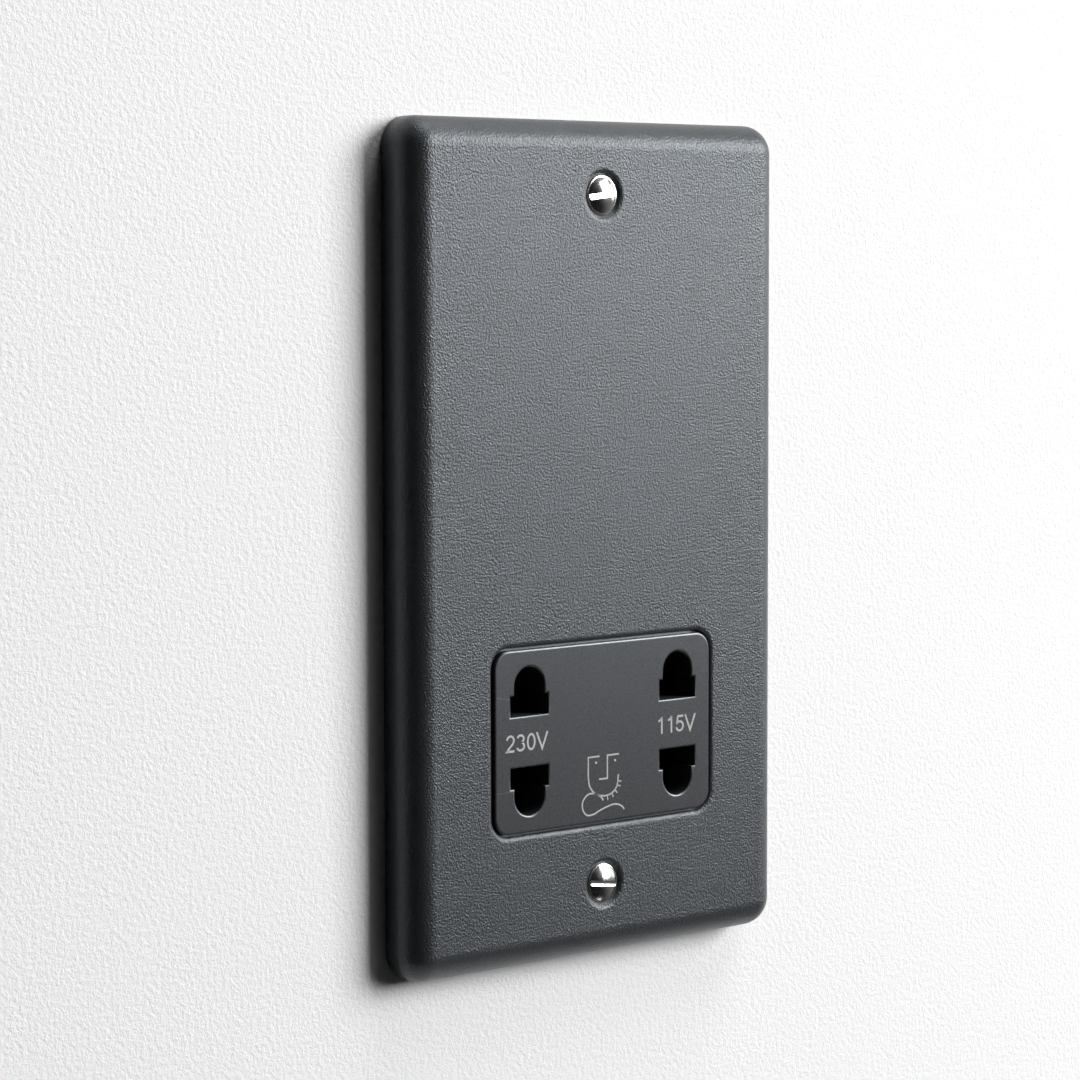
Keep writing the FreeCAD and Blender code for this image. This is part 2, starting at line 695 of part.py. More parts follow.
def build_fixing_screw(label, side, slot_angle):
    """Raised countersunk machine screw, slotted, turned about its own axis."""
    body = new_body(label)
    rim_radius = S.head_diameter / 2
    rim = SEAT - S.head_rim
    dome_edge = rim - S.rim_chamfer_rise
    dome_radius = rim_radius - S.rim_chamfer
    apex = rim - S.head_crown
    neck_radius = S.neck_diameter / 2
    neck = SEAT + rim_radius - neck_radius
    thread_start = BUMP_REAR + S.thread_runout
    tip = PLATE_FRONT + S.screw_length
    profile = new_sketch(body, label + "_profile", "YZ_Plane", ZERO)
    corners = [(apex, ZERO), (tip, ZERO), (tip, S.thread_diameter / 2),
               (thread_start, S.thread_diameter / 2), (thread_start, neck_radius),
               (neck, neck_radius), (SEAT, rim_radius), (rim, rim_radius), (dome_edge, dome_radius)]
    for start, end in zip(corners, corners[1:]):
        profile.addGeometry(Part.LineSegment(point(*start), point(*end)), False)
    last = len(corners) - 2
    for index in range(last):
        profile.addConstraint(Sketcher.Constraint("Coincident", index, 2, index + 1, 1))
    for index, (along, out) in enumerate(corners[:-1]):
        hold(profile, "DistanceX", (-1, 1, index, 1), along)
        hold(profile, "DistanceY", (-1, 1, index, 1), out)
    hold(profile, "DistanceX", (-1, 1, last, 2), dome_edge)
    hold(profile, "DistanceY", (-1, 1, last, 2), dome_radius)
    rise = (dome_edge - apex).value
    ball = (dome_radius.value ** 2 + rise ** 2) / (2 * rise)
    centre = FreeCAD.Vector(apex.value + ball, 0, 0)
    start = math.pi - math.asin(dome_radius.value / ball)
    circle = Part.Circle(centre, FreeCAD.Vector(0, 0, 1), ball)
    dome = profile.addGeometry(Part.ArcOfCircle(circle, start, math.pi), False)
    profile.addConstraint(Sketcher.Constraint("Coincident", last, 2, dome, 1))
    profile.addConstraint(Sketcher.Constraint("Coincident", 0, 1, dome, 2))
    profile.addConstraint(Sketcher.Constraint("PointOnObject", dome, 3, -1))
    turn(body, profile)
    slot = new_sketch(body, label + "_slot", "XZ_Plane", apex - S.head_rim)
    add_rectangle(slot, (ZERO, ZERO), S.head_diameter * 2, S.driver_slot_width)
    pocket(body, slot, S.driver_slot_depth + S.head_rim)
    body.Placement = FreeCAD.Placement(FreeCAD.Vector(),
                                       FreeCAD.Rotation(FreeCAD.Vector(0, -1, 0), 1))
    bind(body, "Placement.Base.z", S.fixing_pitch / 2 * side)
    body.setExpression("Placement.Rotation.Angle", slot_angle.formula)
    return body


def build_socket_face():
    """Satin moulding with four keyhole pin tunnels, held between plate and frame."""
    body = new_body("socket_face")
    shift = (ZERO, MECHANISM)
    slab(body, "FaceSkin", FACE_FRONT, FACE_FRONT + S.face_skin,
         lambda sketch: add_rounded(sketch, S.face_width, S.face_height, S.face_corner), shift)
    slab(body, "FaceFlange", FLANGE_FRONT, FLANGE_REAR,
         lambda sketch: add_rounded(sketch, S.face_width + S.flange_width * 2,
                                    S.face_height + S.flange_width * 2,
                                    S.face_corner + S.flange_width), shift)

    def draw_tunnels(sketch):
        for side in SIDES:
            for lift in SIDES:
                middle = (TUNNEL_OUTER + TUNNEL_INNER) / 2 * lift
                add_rectangle(sketch, (S.opening_x * side, middle), TUNNEL_HALF_WIDTH * 2,
                              TUNNEL_OUTER - TUNNEL_INNER)

    slab(body, "TunnelWalls", FLANGE_FRONT, TUNNEL_REAR, draw_tunnels, shift)

    def draw_openings(sketch):
        for side in SIDES:
            for lift in SIDES:
                add_keyhole(sketch, side, lift, ZERO)

    hollow(body, "PinOpenings", FACE_FRONT, TUNNEL_REAR, draw_openings, shift)
    bevel_edges(body, "FaceEdges", S.face_edge, lambda edge: lies_at(edge, "Y", FACE_FRONT))
    return body


def draw_stud_holes(sketch):
    """Square moulded holes for the plate's studs."""
    width = S.stud_diameter + S.hole_clearance * 2
    for i in SIDES:
        for j in SIDES:
            add_rectangle(sketch, (S.stud_x * i, S.stud_z * j), width, width)


def draw_dimple_notches(sketch):
    """Notches in a flange's ends that clear the backs of the screw dimples."""
    inner = S.fixing_pitch / 2 - DIMPLE_PASSAGE
    outer = S.frame_height / 2 + S.hole_land
    for side in SIDES:
        add_rectangle(sketch, (ZERO, (inner + outer) / 2 * side), DIMPLE_PASSAGE * 2, outer - inner)


def build_inner_frame():
    """Moulded frame: plate, shutter tray, contact pockets, guide posts and board posts."""
    body = new_body("inner_frame")
    shift = (ZERO, MECHANISM)
    slab(body, "FramePlate", FRAME_FRONT, FRAME_REAR,
         lambda sketch: add_rounded(sketch, S.frame_width, S.frame_height, S.frame_corner))

    def draw_pads(sketch):
        for i in SIDES:
            for j in SIDES:
                add_rectangle(sketch, (S.stud_x * i, S.stud_z * j), S.stud_diameter * 2,
                              S.stud_diameter * 2)

    slab(body, "StudPads", PLATE_INNER + S.moulding_gap, FRAME_FRONT, draw_pads)
    slab(body, "TrayBlock", FRAME_REAR, FLOOR_REAR,
         lambda sketch: add_rounded(sketch, (TRAY_HALF_WIDTH + S.tray_wall) * 2,
                                    (TRAY_HALF_HEIGHT + S.tray_wall) * 2,
                                    S.housing_corner - S.housing_wall), shift)
    hollow(body, "TrayHollow", FRAME_REAR, FLOOR_FRONT,
           lambda sketch: add_rectangle(sketch, (ZERO, ZERO), TRAY_HALF_WIDTH * 2,
                                        TRAY_HALF_HEIGHT * 2), shift)
    hollow(body, "FaceWindow", FRAME_FRONT, FRAME_REAR,
           lambda sketch: add_rectangle(sketch, (ZERO, ZERO), WINDOW_HALF_WIDTH * 2,
                                        WINDOW_HALF_HEIGHT * 2), shift)

    def draw_pockets(half_width, half_height):
        def draw(sketch):
            for side in SIDES:
                for lift in SIDES:
                    add_rectangle(sketch, (S.opening_x * side, CONTACT_MIDDLE * lift),
                                  half_width * 2, half_height * 2)
        return draw

    slab(body, "ContactPockets", FLOOR_REAR, POCKET_REAR,
         draw_pockets(POCKET_HALF_WIDTH + S.pocket_wall, POCKET_HALF_HEIGHT + S.pocket_wall), shift)
    hollow(body, "PocketHollows", FLOOR_REAR, POCKET_REAR,
           draw_pockets(POCKET_HALF_WIDTH, POCKET_HALF_HEIGHT), shift)

    def draw_openings(sketch):
        for side in SIDES:
            for lift in SIDES:
                add_rectangle(sketch, (S.opening_x * side, CONTACT_MIDDLE * lift),
                              S.blade_width + S.pocket_gap * 2,
                              S.arch_centre + S.arch_radius - S.blade_inner + S.pocket_gap * 2)

    hollow(body, "FloorOpenings", FLOOR_FRONT, FLOOR_REAR, draw_openings, shift)

    def draw_guides(sketch):
        for side in SIDES:
            add_circle(sketch, S.guide_x * side, ZERO, S.guide_diameter / 2)

    slab(body, "PusherGuides", FLOOR_REAR, BOARD_FRONT - S.hole_clearance, draw_guides, shift)

    def draw_posts(radius):
        def draw(sketch):
            for side in SIDES:
                add_circle(sketch, S.post_x * side, ZERO, radius)
        return draw

    slab(body, "BoardPosts", FLOOR_REAR, BOARD_FRONT - S.moulding_gap,
         draw_posts(S.post_diameter / 2), shift)
    hollow(body, "PostBores", BOARD_FRONT - S.post_bore_depth, BOARD_FRONT,
           draw_posts(S.board_screw_shank / 2 + S.moulding_gap), shift)

    def draw_stops(sketch):
        for side in SIDES:
            middle = (S.centring_spring_length + S.spring_stop + S.slide_gap) / 2
            add_rectangle(sketch, (middle * side, ZERO), S.spring_stop, S.spring_stop_height)

    slab(body, "SpringStops", SPRING_FRONT, FLOOR_FRONT, draw_stops, shift)

    def draw_core_ribs(sketch):
        for side in SIDES:
            add_rectangle(sketch, (CORE_LIMB_MIDDLE * side, CORE_CENTRE), S.housing_wall,
                          S.core_rib_height)

    slab(body, "CoreRibs", FRAME_REAR, CORE_FRONT - S.moulding_gap, draw_core_ribs)

    hollow(body, "StudHoles", PLATE_INNER, FRAME_REAR, draw_stud_holes)

    hollow(body, "DimpleNotches", FRAME_FRONT, FRAME_REAR, draw_dimple_notches)
    hollow(body, "EarthWindow", FRAME_FRONT, FRAME_REAR,
           lambda sketch: add_rectangle(sketch, (ZERO, ZERO), STRAP_FACE - STRAP_END + S.slide_gap * 2,
                                        S.strap_width + S.stud_diameter),
           ((STRAP_FACE + STRAP_END) / 2, -S.earth_stud_z))
    return body


def build_shutter():
    """One sliding shutter: wedge ramps before each opening, rails at its edges."""
    body = new_body("shutter")
    shift = (ZERO, MECHANISM)
    base_front = SHUTTER_REAR - S.shutter_base
    slab(body, "ShutterBase", base_front, SHUTTER_REAR,
         lambda sketch: add_rectangle(sketch, (ZERO, ZERO), S.shutter_half * 2,
                                      SHUTTER_HALF_HEIGHT * 2), shift)

    def draw_rails(sketch):
        for lift in SIDES:
            middle = (SHUTTER_HALF_HEIGHT - S.shutter_rail / 2) * lift
            add_rectangle(sketch, (ZERO, middle), S.shutter_half * 2, S.shutter_rail)

    slab(body, "ShutterRails", FRAME_REAR + S.slide_gap, SHUTTER_REAR, draw_rails, shift)

    ramp_inner = S.opening_x - S.blade_width / 2 - S.slide_gap
    for side, name in ((1, "Right"), (-1, "Left")):
        for lift, level in ((1, "Upper"), (-1, "Lower")):
            top = MECHANISM + (S.arch_centre + S.arch_radius if lift > 0 else -S.blade_inner)
            ramp = new_sketch(body, name + level + "Ramp", "XY_Plane", top)
            corners = [(ramp_inner, SHUTTER_REAR - S.shutter_base / 2), (ramp_inner, SHUTTER_FRONT),
                       (ramp_inner + S.ramp_land, SHUTTER_FRONT),
                       (S.shutter_half, base_front),
                       (S.shutter_half, SHUTTER_REAR - S.shutter_base / 2)]
            add_polygon(ramp, [(x * side, y) for x, y in corners])
            pad(body, ramp, S.arch_centre + S.arch_radius - S.blade_inner, reverse=True)

    spring_room = S.centring_spring_height / 2 + S.slide_gap
    wall = S.tray_wall
    slab(body, "SpringWell", SPRING_FRONT, SHUTTER_REAR,
         lambda sketch: add_rectangle(sketch, (ZERO, ZERO), S.centring_spring_length + wall * 2,
                                      (spring_room + wall) * 2), shift)
    hollow(body, "SpringWindow", SPRING_FRONT, SHUTTER_REAR,
           lambda sketch: add_rectangle(sketch, (ZERO, ZERO),
                                        S.centring_spring_length + S.slide_gap,
                                        spring_room * 2), shift)
    stop_room = S.spring_stop_height / 2 + S.slide_gap
    slot_reach = S.centring_spring_length / 2 + S.spring_stop + S.shutter_travel + S.slide_gap * 2
    hollow(body, "StopSlots", SPRING_FRONT, SHUTTER_REAR,
           lambda sketch: add_rectangle(sketch, (ZERO, ZERO), slot_reach * 2, stop_room * 2), shift)
    return body


def folded_strip(start, length, height, loops):
    """Outline of a strip folded to and fro, as (along, across) pairs, with a flat leg at each end."""
    top, gauge = as_size(height) / 2, S.spring_strip
    pitch = (as_size(length) - gauge) / (2 * loops - 1)
    near, far = [(start, -top)], [(start + gauge, -top)]
    for loop in range(loops):
        rising, falling = start + pitch * (2 * loop), start + pitch * (2 * loop + 1)
        near += [(rising, top), (falling + gauge, top)]
        far += [(rising + gauge, top - gauge), (falling, top - gauge), (falling, -top)]
        if loop < loops - 1:
            near += [(falling + gauge, gauge - top), (falling + pitch, gauge - top)]
            far += [(falling + pitch + gauge, -top)]
        else:
            near += [(falling + gauge, -top)]
    return near + far[::-1]


def build_shutter_spring():
    """Folded strip between the shutter's window ends and the frame's two stops."""
    body = new_body("shutter_spring")
    outline = folded_strip(-S.centring_spring_length / 2, S.centring_spring_length,
                           S.centring_spring_height, 5)
    slab(body, "CentringStrip", SPRING_FRONT, SPRING_REAR,
         lambda sketch: add_polygon(sketch, outline), (ZERO, MECHANISM))
    return body


def build_contact(label, side, lift):
    """Folded strip: two sprung leaves on a pierced base, with a leg to the board."""
    body = new_body(label)
    rear = CONTACT_REAR
    fold = rear - S.strip_thickness
    mouth = fold - S.contact_length
    waist = mouth + S.contact_waist_depth
    gauge = S.strip_thickness
    base_half = S.contact_base_half
    outer = [(base_half, rear), (base_half, fold), (S.contact_waist_half + gauge, waist),
             (S.contact_mouth_half, mouth)]
    inner = [(S.contact_mouth_half - gauge, mouth), (S.contact_waist_half, waist),
             (base_half - gauge, fold)]
    half = outer + inner
    x = S.opening_x * side
    corners = [(x + across, y) for across, y in half] + [(x - across, y) for across, y in reversed(half)]
    middle = MECHANISM + CONTACT_MIDDLE * lift
    leaves = new_sketch(body, label + "_leaves", "XY_Plane", middle)
    add_polygon(leaves, corners)
    pad(body, leaves, S.contact_width, midplane=True)
    hollow(body, label + "_window", fold - gauge, rear,
           lambda sketch: add_rectangle(sketch, (ZERO, ZERO), S.finger_width + S.strip_thickness * 2,
                                        S.finger_height + S.strip_thickness * 2), (x, middle))
    leg_x = x + (base_half - gauge / 2) * side
    slab(body, label + "_leg", fold, BOARD_REAR + gauge,
         lambda sketch: add_rectangle(sketch, (ZERO, ZERO), gauge, S.contact_leg_width),
         (leg_x, middle))
    return body


def build_pusher_bar():
    """Bar with four fingers that the plug's pins press back, running on two guide posts."""
    body = new_body("pusher_bar")
    shift = (ZERO, MECHANISM)
    arm_half = CONTACT_MIDDLE + S.finger_height / 2
    slab(body, "PusherWeb", PUSHER_FRONT, PUSHER_REAR,
         lambda sketch: add_rectangle(sketch, (ZERO, ZERO), (S.opening_x + S.pusher_arm / 2) * 2,
                                      S.pusher_web_height), shift)

    def draw_arms(sketch):
        for side in SIDES:
            add_rectangle(sketch, (S.opening_x * side, ZERO), S.pusher_arm, arm_half * 2)

    slab(body, "PusherArms", PUSHER_FRONT, PUSHER_REAR, draw_arms, shift)

    def draw_fingers(sketch):
        for side in SIDES:
            for lift in SIDES:
                add_rectangle(sketch, (S.opening_x * side, CONTACT_MIDDLE * lift),
                              S.finger_width, S.finger_height)

    slab(body, "PusherFingers", PUSHER_FRONT - S.finger_reach, PUSHER_FRONT, draw_fingers, shift)

    def draw_guide_holes(sketch):
        for side in SIDES:
            add_circle(sketch, S.guide_x * side, ZERO, S.guide_diameter / 2 + S.hole_clearance)

    hollow(body, "GuideHoles", PUSHER_FRONT, PUSHER_REAR, draw_guide_holes, shift)
    return body


def build_pusher_springs():
    """Two folded strips that press the pusher bar forwards off the board."""
    start = PUSHER_REAR + S.moulding_gap
    springs = []
    for name, side in (("left", -1), ("right", 1)):
        body = new_body(f"pusher_spring_{name}")
        sketch = new_sketch(body, f"ReturnStrip_{name}", "XY_Plane", MECHANISM)
        outline = folded_strip(start, BOARD_FRONT - start - S.moulding_gap, S.return_spring_height, 3)
        add_polygon(sketch, [(S.return_spring_x * side + across, along) for along, across in outline])
        pad(body, sketch, S.return_spring_width, midplane=True)
        springs.append(body)
    return group("pusher_springs", springs)


def build_microswitch():
    """Snap switch on the board, with a bore for its plunger, and the plunger itself."""
    bore = S.plunger_diameter / 2 + S.hole_clearance
    depth = S.plunger_grip + S.pusher_travel + S.slide_gap
    body = new_body("microswitch_body")
    slab(body, "SwitchCase", SWITCH_FRONT, BOARD_FRONT - S.moulding_gap,
         lambda sketch: add_rounded(sketch, S.switch_length, S.switch_width, S.tunnel_wall / 2),
         (ZERO, MECHANISM))
    hollow(body, "PlungerBore", SWITCH_FRONT, SWITCH_FRONT + depth,
           lambda sketch: add_circle(sketch, ZERO, ZERO, bore), (ZERO, MECHANISM))
    plunger = rod("microswitch_plunger", "y", (ZERO, PUSHER_REAR + S.moulding_gap, MECHANISM),
                  S.plunger_diameter / 2,
                  SWITCH_FRONT - PUSHER_REAR - S.moulding_gap + S.plunger_grip)
    return [body, plunger]


TERMINALS = (("earth", -1), ("neutral", 0), ("live", 1))


def add_leg_slots(sketch, gap):
    """Slots for the terminal legs and for the earth strap."""
    for name, place in TERMINALS:
        add_rectangle(sketch, (S.terminal_pitch * place, ZERO), S.leg_thickness + gap * 2,
                      S.leg_width + gap * 2)
    add_rectangle(sketch, (STRAP_FACE - S.strap_thickness / 2, -S.earth_stud_z),
                  S.strap_thickness + gap * 2, S.strap_width + gap * 2)


def build_circuit_board():
    """Board behind the contacts, pierced for their legs, the terminals and the screws."""
    body = new_body("circuit_board")
    height = S.board_top - BOARD_BOTTOM
    slab(body, "BoardBlank", BOARD_FRONT, BOARD_REAR,
         lambda sketch: add_rounded(sketch, S.board_half_width * 2, height, S.post_diameter / 2),
         (ZERO, (S.board_top + BOARD_BOTTOM) / 2))

    def draw_holes(sketch):
        for side in SIDES:
            for lift in SIDES:
                leg_x = (S.opening_x + S.contact_base_half - S.strip_thickness / 2) * side
                add_rectangle(sketch, (leg_x, CONTACT_MIDDLE * lift),
                              S.strip_thickness + S.moulding_gap * 2,
                              S.contact_leg_width + S.moulding_gap * 2)
            add_circle(sketch, S.post_x * side, ZERO, S.board_screw_shank / 2 + S.hole_clearance)

    hollow(body, "ContactHoles", BOARD_FRONT, BOARD_REAR, draw_holes, (ZERO, MECHANISM))
    hollow(body, "TerminalHoles", BOARD_FRONT, BOARD_REAR,
           lambda sketch: add_leg_slots(sketch, S.moulding_gap))
    return body


def build_board_screws():
    screws = []
    head_seat = BOARD_REAR + S.moulding_gap
    tip = BOARD_FRONT - S.board_screw_reach
    for name, side in (("left", -1), ("right", 1)):
        tag = f"board_screw_{name}"
        x = S.post_x * side
        shank = rod(tag + "_shank", "y", (x, tip, MECHANISM), S.board_screw_shank / 2, head_seat - tip)
        head = rod(tag + "_head", "y", (x, head_seat, MECHANISM), S.board_screw_head / 2,
                   S.board_screw_head_height)
        screws.append(fuse(tag, [shank, head]))
    return group("board_screws", screws)


def build_rear_housing():
    """Stepped moulded tub: shallow behind the mechanism, deep behind the transformer."""
    body = new_body("rear_housing")
    half = S.housing_height / 2
    side_view = new_sketch(body, "HousingSide", "YZ_Plane", ZERO)
    add_polygon(side_view, [
        (FRAME_REAR, -half), (LOWER_DEPTH, -half), (LOWER_DEPTH, S.hump_bottom),
        (S.upper_depth, S.hump_bottom), (S.upper_depth, half), (FRAME_REAR, half)])
    pad(body, side_view, S.housing_width, midplane=True)
    round_edges(body, "HousingCorners", S.housing_corner, lambda edge: runs_along(edge, "y")
                and abs(abs(edge.BoundBox.ZMin) - half.value) < 0.01)

    bevel_edges(body, "HumpEdges", S.hump_bevel, lambda edge: lies_at(edge, "Y", S.upper_depth))
    wall = S.housing_wall
    inside = new_sketch(body, "HousingInside", "YZ_Plane", ZERO)
    add_polygon(inside, [
        (FRAME_REAR, wall - half), (LOWER_DEPTH - wall, wall - half),
        (LOWER_DEPTH - wall, S.hump_bottom + wall), (S.upper_depth - wall, S.hump_bottom + wall),
        (S.upper_depth - wall, half - wall), (FRAME_REAR, half - wall)])
    pocket(body, inside, S.housing_width - wall * 2, midplane=True)
    round_edges(body, "InnerCorners", S.housing_corner - wall, lambda edge: runs_along(edge, "y")
                and abs(abs(edge.BoundBox.ZMin) - (half - wall).value) < 0.01)

    def draw_flange(sketch):
        add_rounded(sketch, S.frame_width, S.frame_height, S.frame_corner)
        add_rounded(sketch, S.housing_width - S.housing_wall, S.housing_height - S.housing_wall,
                    S.housing_corner - S.housing_wall / 2)

    slab(body, "HousingFlange", FRAME_REAR, FLANGE_BACK, draw_flange)

    hollow(body, "FlangeHoles", FRAME_REAR, FLANGE_BACK, draw_stud_holes)
    hollow(body, "DimpleNotches", FRAME_REAR, FLANGE_BACK, draw_dimple_notches)

    inner_back = S.upper_depth - S.housing_wall
    rib_root = inner_back + S.housing_wall / 2

    def draw_core_ribs(sketch):
        for side in SIDES:
            add_rectangle(sketch, (CORE_LIMB_MIDDLE * side, CORE_CENTRE), S.housing_wall,
                          S.core_rib_height)

    def draw_fences(sketch):
        middle = S.core_width / 2 + S.moulding_gap + S.housing_wall / 2
        for side in SIDES:
            add_rectangle(sketch, (middle * side, CORE_CENTRE), S.housing_wall, S.core_fence_height)

    slab(body, "CoreRibs", CORE_REAR + S.moulding_gap, rib_root, draw_core_ribs)
    slab(body, "CoreFences", S.core_middle, rib_root, draw_fences)

    def draw_vents(sketch):
        for place in (-2, -1, 0, 1, 2):
            add_rectangle(sketch, (S.vent_pitch * place, CORE_CENTRE), S.vent_width, S.vent_length)

    hollow(body, "HumpVents", inner_back, S.upper_depth, draw_vents)
    hollow(body, "LegSlots", LOWER_DEPTH - S.housing_wall, LOWER_DEPTH,
           lambda sketch: add_leg_slots(sketch, S.hole_clearance))
    return body


def build_transformer():
    """Laminated core, moulded bobbin and the two windings on it."""
    stack_half = S.core_stack / 2
    window_height = S.core_height - CORE_YOKE * 2

    core = new_body("transformer_core")

    def draw_core(sketch):
        add_rectangle(sketch, (ZERO, ZERO), S.core_width, S.core_height)
        for side in SIDES:
            add_rectangle(sketch, ((CORE_LEG_HALF + CORE_WINDOW_HALF) / 2 * side, ZERO),
                          CORE_WINDOW_HALF - CORE_LEG_HALF, window_height)

    slab(core, "Laminations", CORE_FRONT, CORE_REAR, draw_core, (ZERO, CORE_CENTRE))

    tube_x = CORE_LEG_HALF + S.bobbin_gap + S.bobbin_wall
    tube_y = stack_half + S.bobbin_gap + S.bobbin_wall
    flange_x = CORE_WINDOW_HALF - S.bobbin_gap
    flange_y = tube_y + (flange_x - tube_x)
    flange_half = window_height / 2 - S.bobbin_gap
    middle = CORE_CENTRE

    bobbin = new_body("transformer_bobbin")

    def level(name, low, high, half_x, half_y):
        sketch = new_sketch(bobbin, name, "XY_Plane", low)
        add_rectangle(sketch, (ZERO, S.core_middle), half_x * 2, half_y * 2)
        pad(bobbin, sketch, as_size(high) - low)

    level("BobbinTube", middle - flange_half, middle + flange_half, tube_x, tube_y)
    wall_half = S.bobbin_wall / 2
    level("LowerCheek", middle - flange_half, middle - flange_half + S.bobbin_wall, flange_x, flange_y)
    level("MiddleCheek", middle - wall_half, middle + wall_half, flange_x, flange_y)
    level("UpperCheek", middle + flange_half - S.bobbin_wall, middle + flange_half, flange_x, flange_y)
    tunnel = new_sketch(bobbin, "BobbinTunnel", "XY_Plane", middle + flange_half)
    add_rectangle(tunnel, (ZERO, S.core_middle), (CORE_LEG_HALF + S.bobbin_gap) * 2,
                  (stack_half + S.bobbin_gap) * 2)
    pocket(bobbin, tunnel, flange_half * 2)

    windings = []
    wire_x = tube_x + S.winding_gap
    wire_y = tube_y + S.winding_gap
    room = flange_half - S.bobbin_wall - wall_half - S.winding_gap * 2
    for label, low in (("primary_winding", middle + wall_half + S.winding_gap),
                       ("secondary_winding", middle - wall_half - S.winding_gap - room)):
        body = new_body(label)
        ring = new_sketch(body, label + "_ring", "XY_Plane", low, (ZERO, S.core_middle))
        build = S.winding_build
        add_rounded(ring, (wire_x + build) * 2, (wire_y + build) * 2, build / 2)
        add_rectangle(ring, (ZERO, ZERO), wire_x * 2, wire_y * 2)
        pad(body, ring, room)
        windings.append(body)
    return [core, bobbin] + windings


def winding_front():
    """Front face of the windings, where they stand out before the core."""
    return S.core_middle - S.winding_reach


def build_thermal_cutout():
    """Flat cut-out lying on the front of the primary winding."""
    top = (CORE_CENTRE + S.core_height / 2 - CORE_YOKE - S.bobbin_gap - S.bobbin_wall
           - S.winding_gap)
    body = new_body("thermal_cutout")
    rear = winding_front() - S.moulding_gap
    slab(body, "CutoutCan", rear - S.cutout_thickness, rear,
         lambda sketch: add_rounded(sketch, S.cutout_length, S.cutout_height, S.tunnel_wall),
         (ZERO, top - S.cutout_height / 2))
    return body


def build_winding_leads():
    """Insulated leads that drop from the bobbin and turn back to the board."""
    front = winding_front() + S.winding_build / 2
    start = CORE_BOTTOM + CORE_YOKE + S.bobbin_gap - S.moulding_gap
    bend = S.lead_bend.value
    radius = S.lead_diameter.value / 2
    section = [(radius * math.cos(math.pi / 3 * corner), radius * math.sin(math.pi / 3 * corner))
               for corner in range(6)]
    leads = []
    for number in range(-2, 3):
        x = (S.lead_pitch * number).value
        y, top = front.value, start.value
        low = (S.board_top - S.lead_drop).value
        corner = FreeCAD.Vector(x, y + bend, low + bend)
        down = Part.makeLine(FreeCAD.Vector(x, y, top), FreeCAD.Vector(x, y, low + bend))
        middle = corner + FreeCAD.Vector(0, -bend / DIAGONAL, -bend / DIAGONAL)
        arc = Part.Arc(FreeCAD.Vector(x, y, low + bend), middle,
                       FreeCAD.Vector(x, y + bend, low)).toShape()
        back = Part.makeLine(FreeCAD.Vector(x, y + bend, low),
                             FreeCAD.Vector(x, (BOARD_FRONT - S.moulding_gap).value, low))
        rim = [FreeCAD.Vector(x + across, y + along, top) for across, along in section]
        ring = Part.makePolygon(rim + rim[:1])
        lead = doc.addObject("Part::Feature", f"winding_lead_{number + 3}")
        lead.Shape = Part.Wire([down, arc, back]).makePipeShell([ring], True, True)
        leads.append(lead)
    return group("winding_leads", leads)


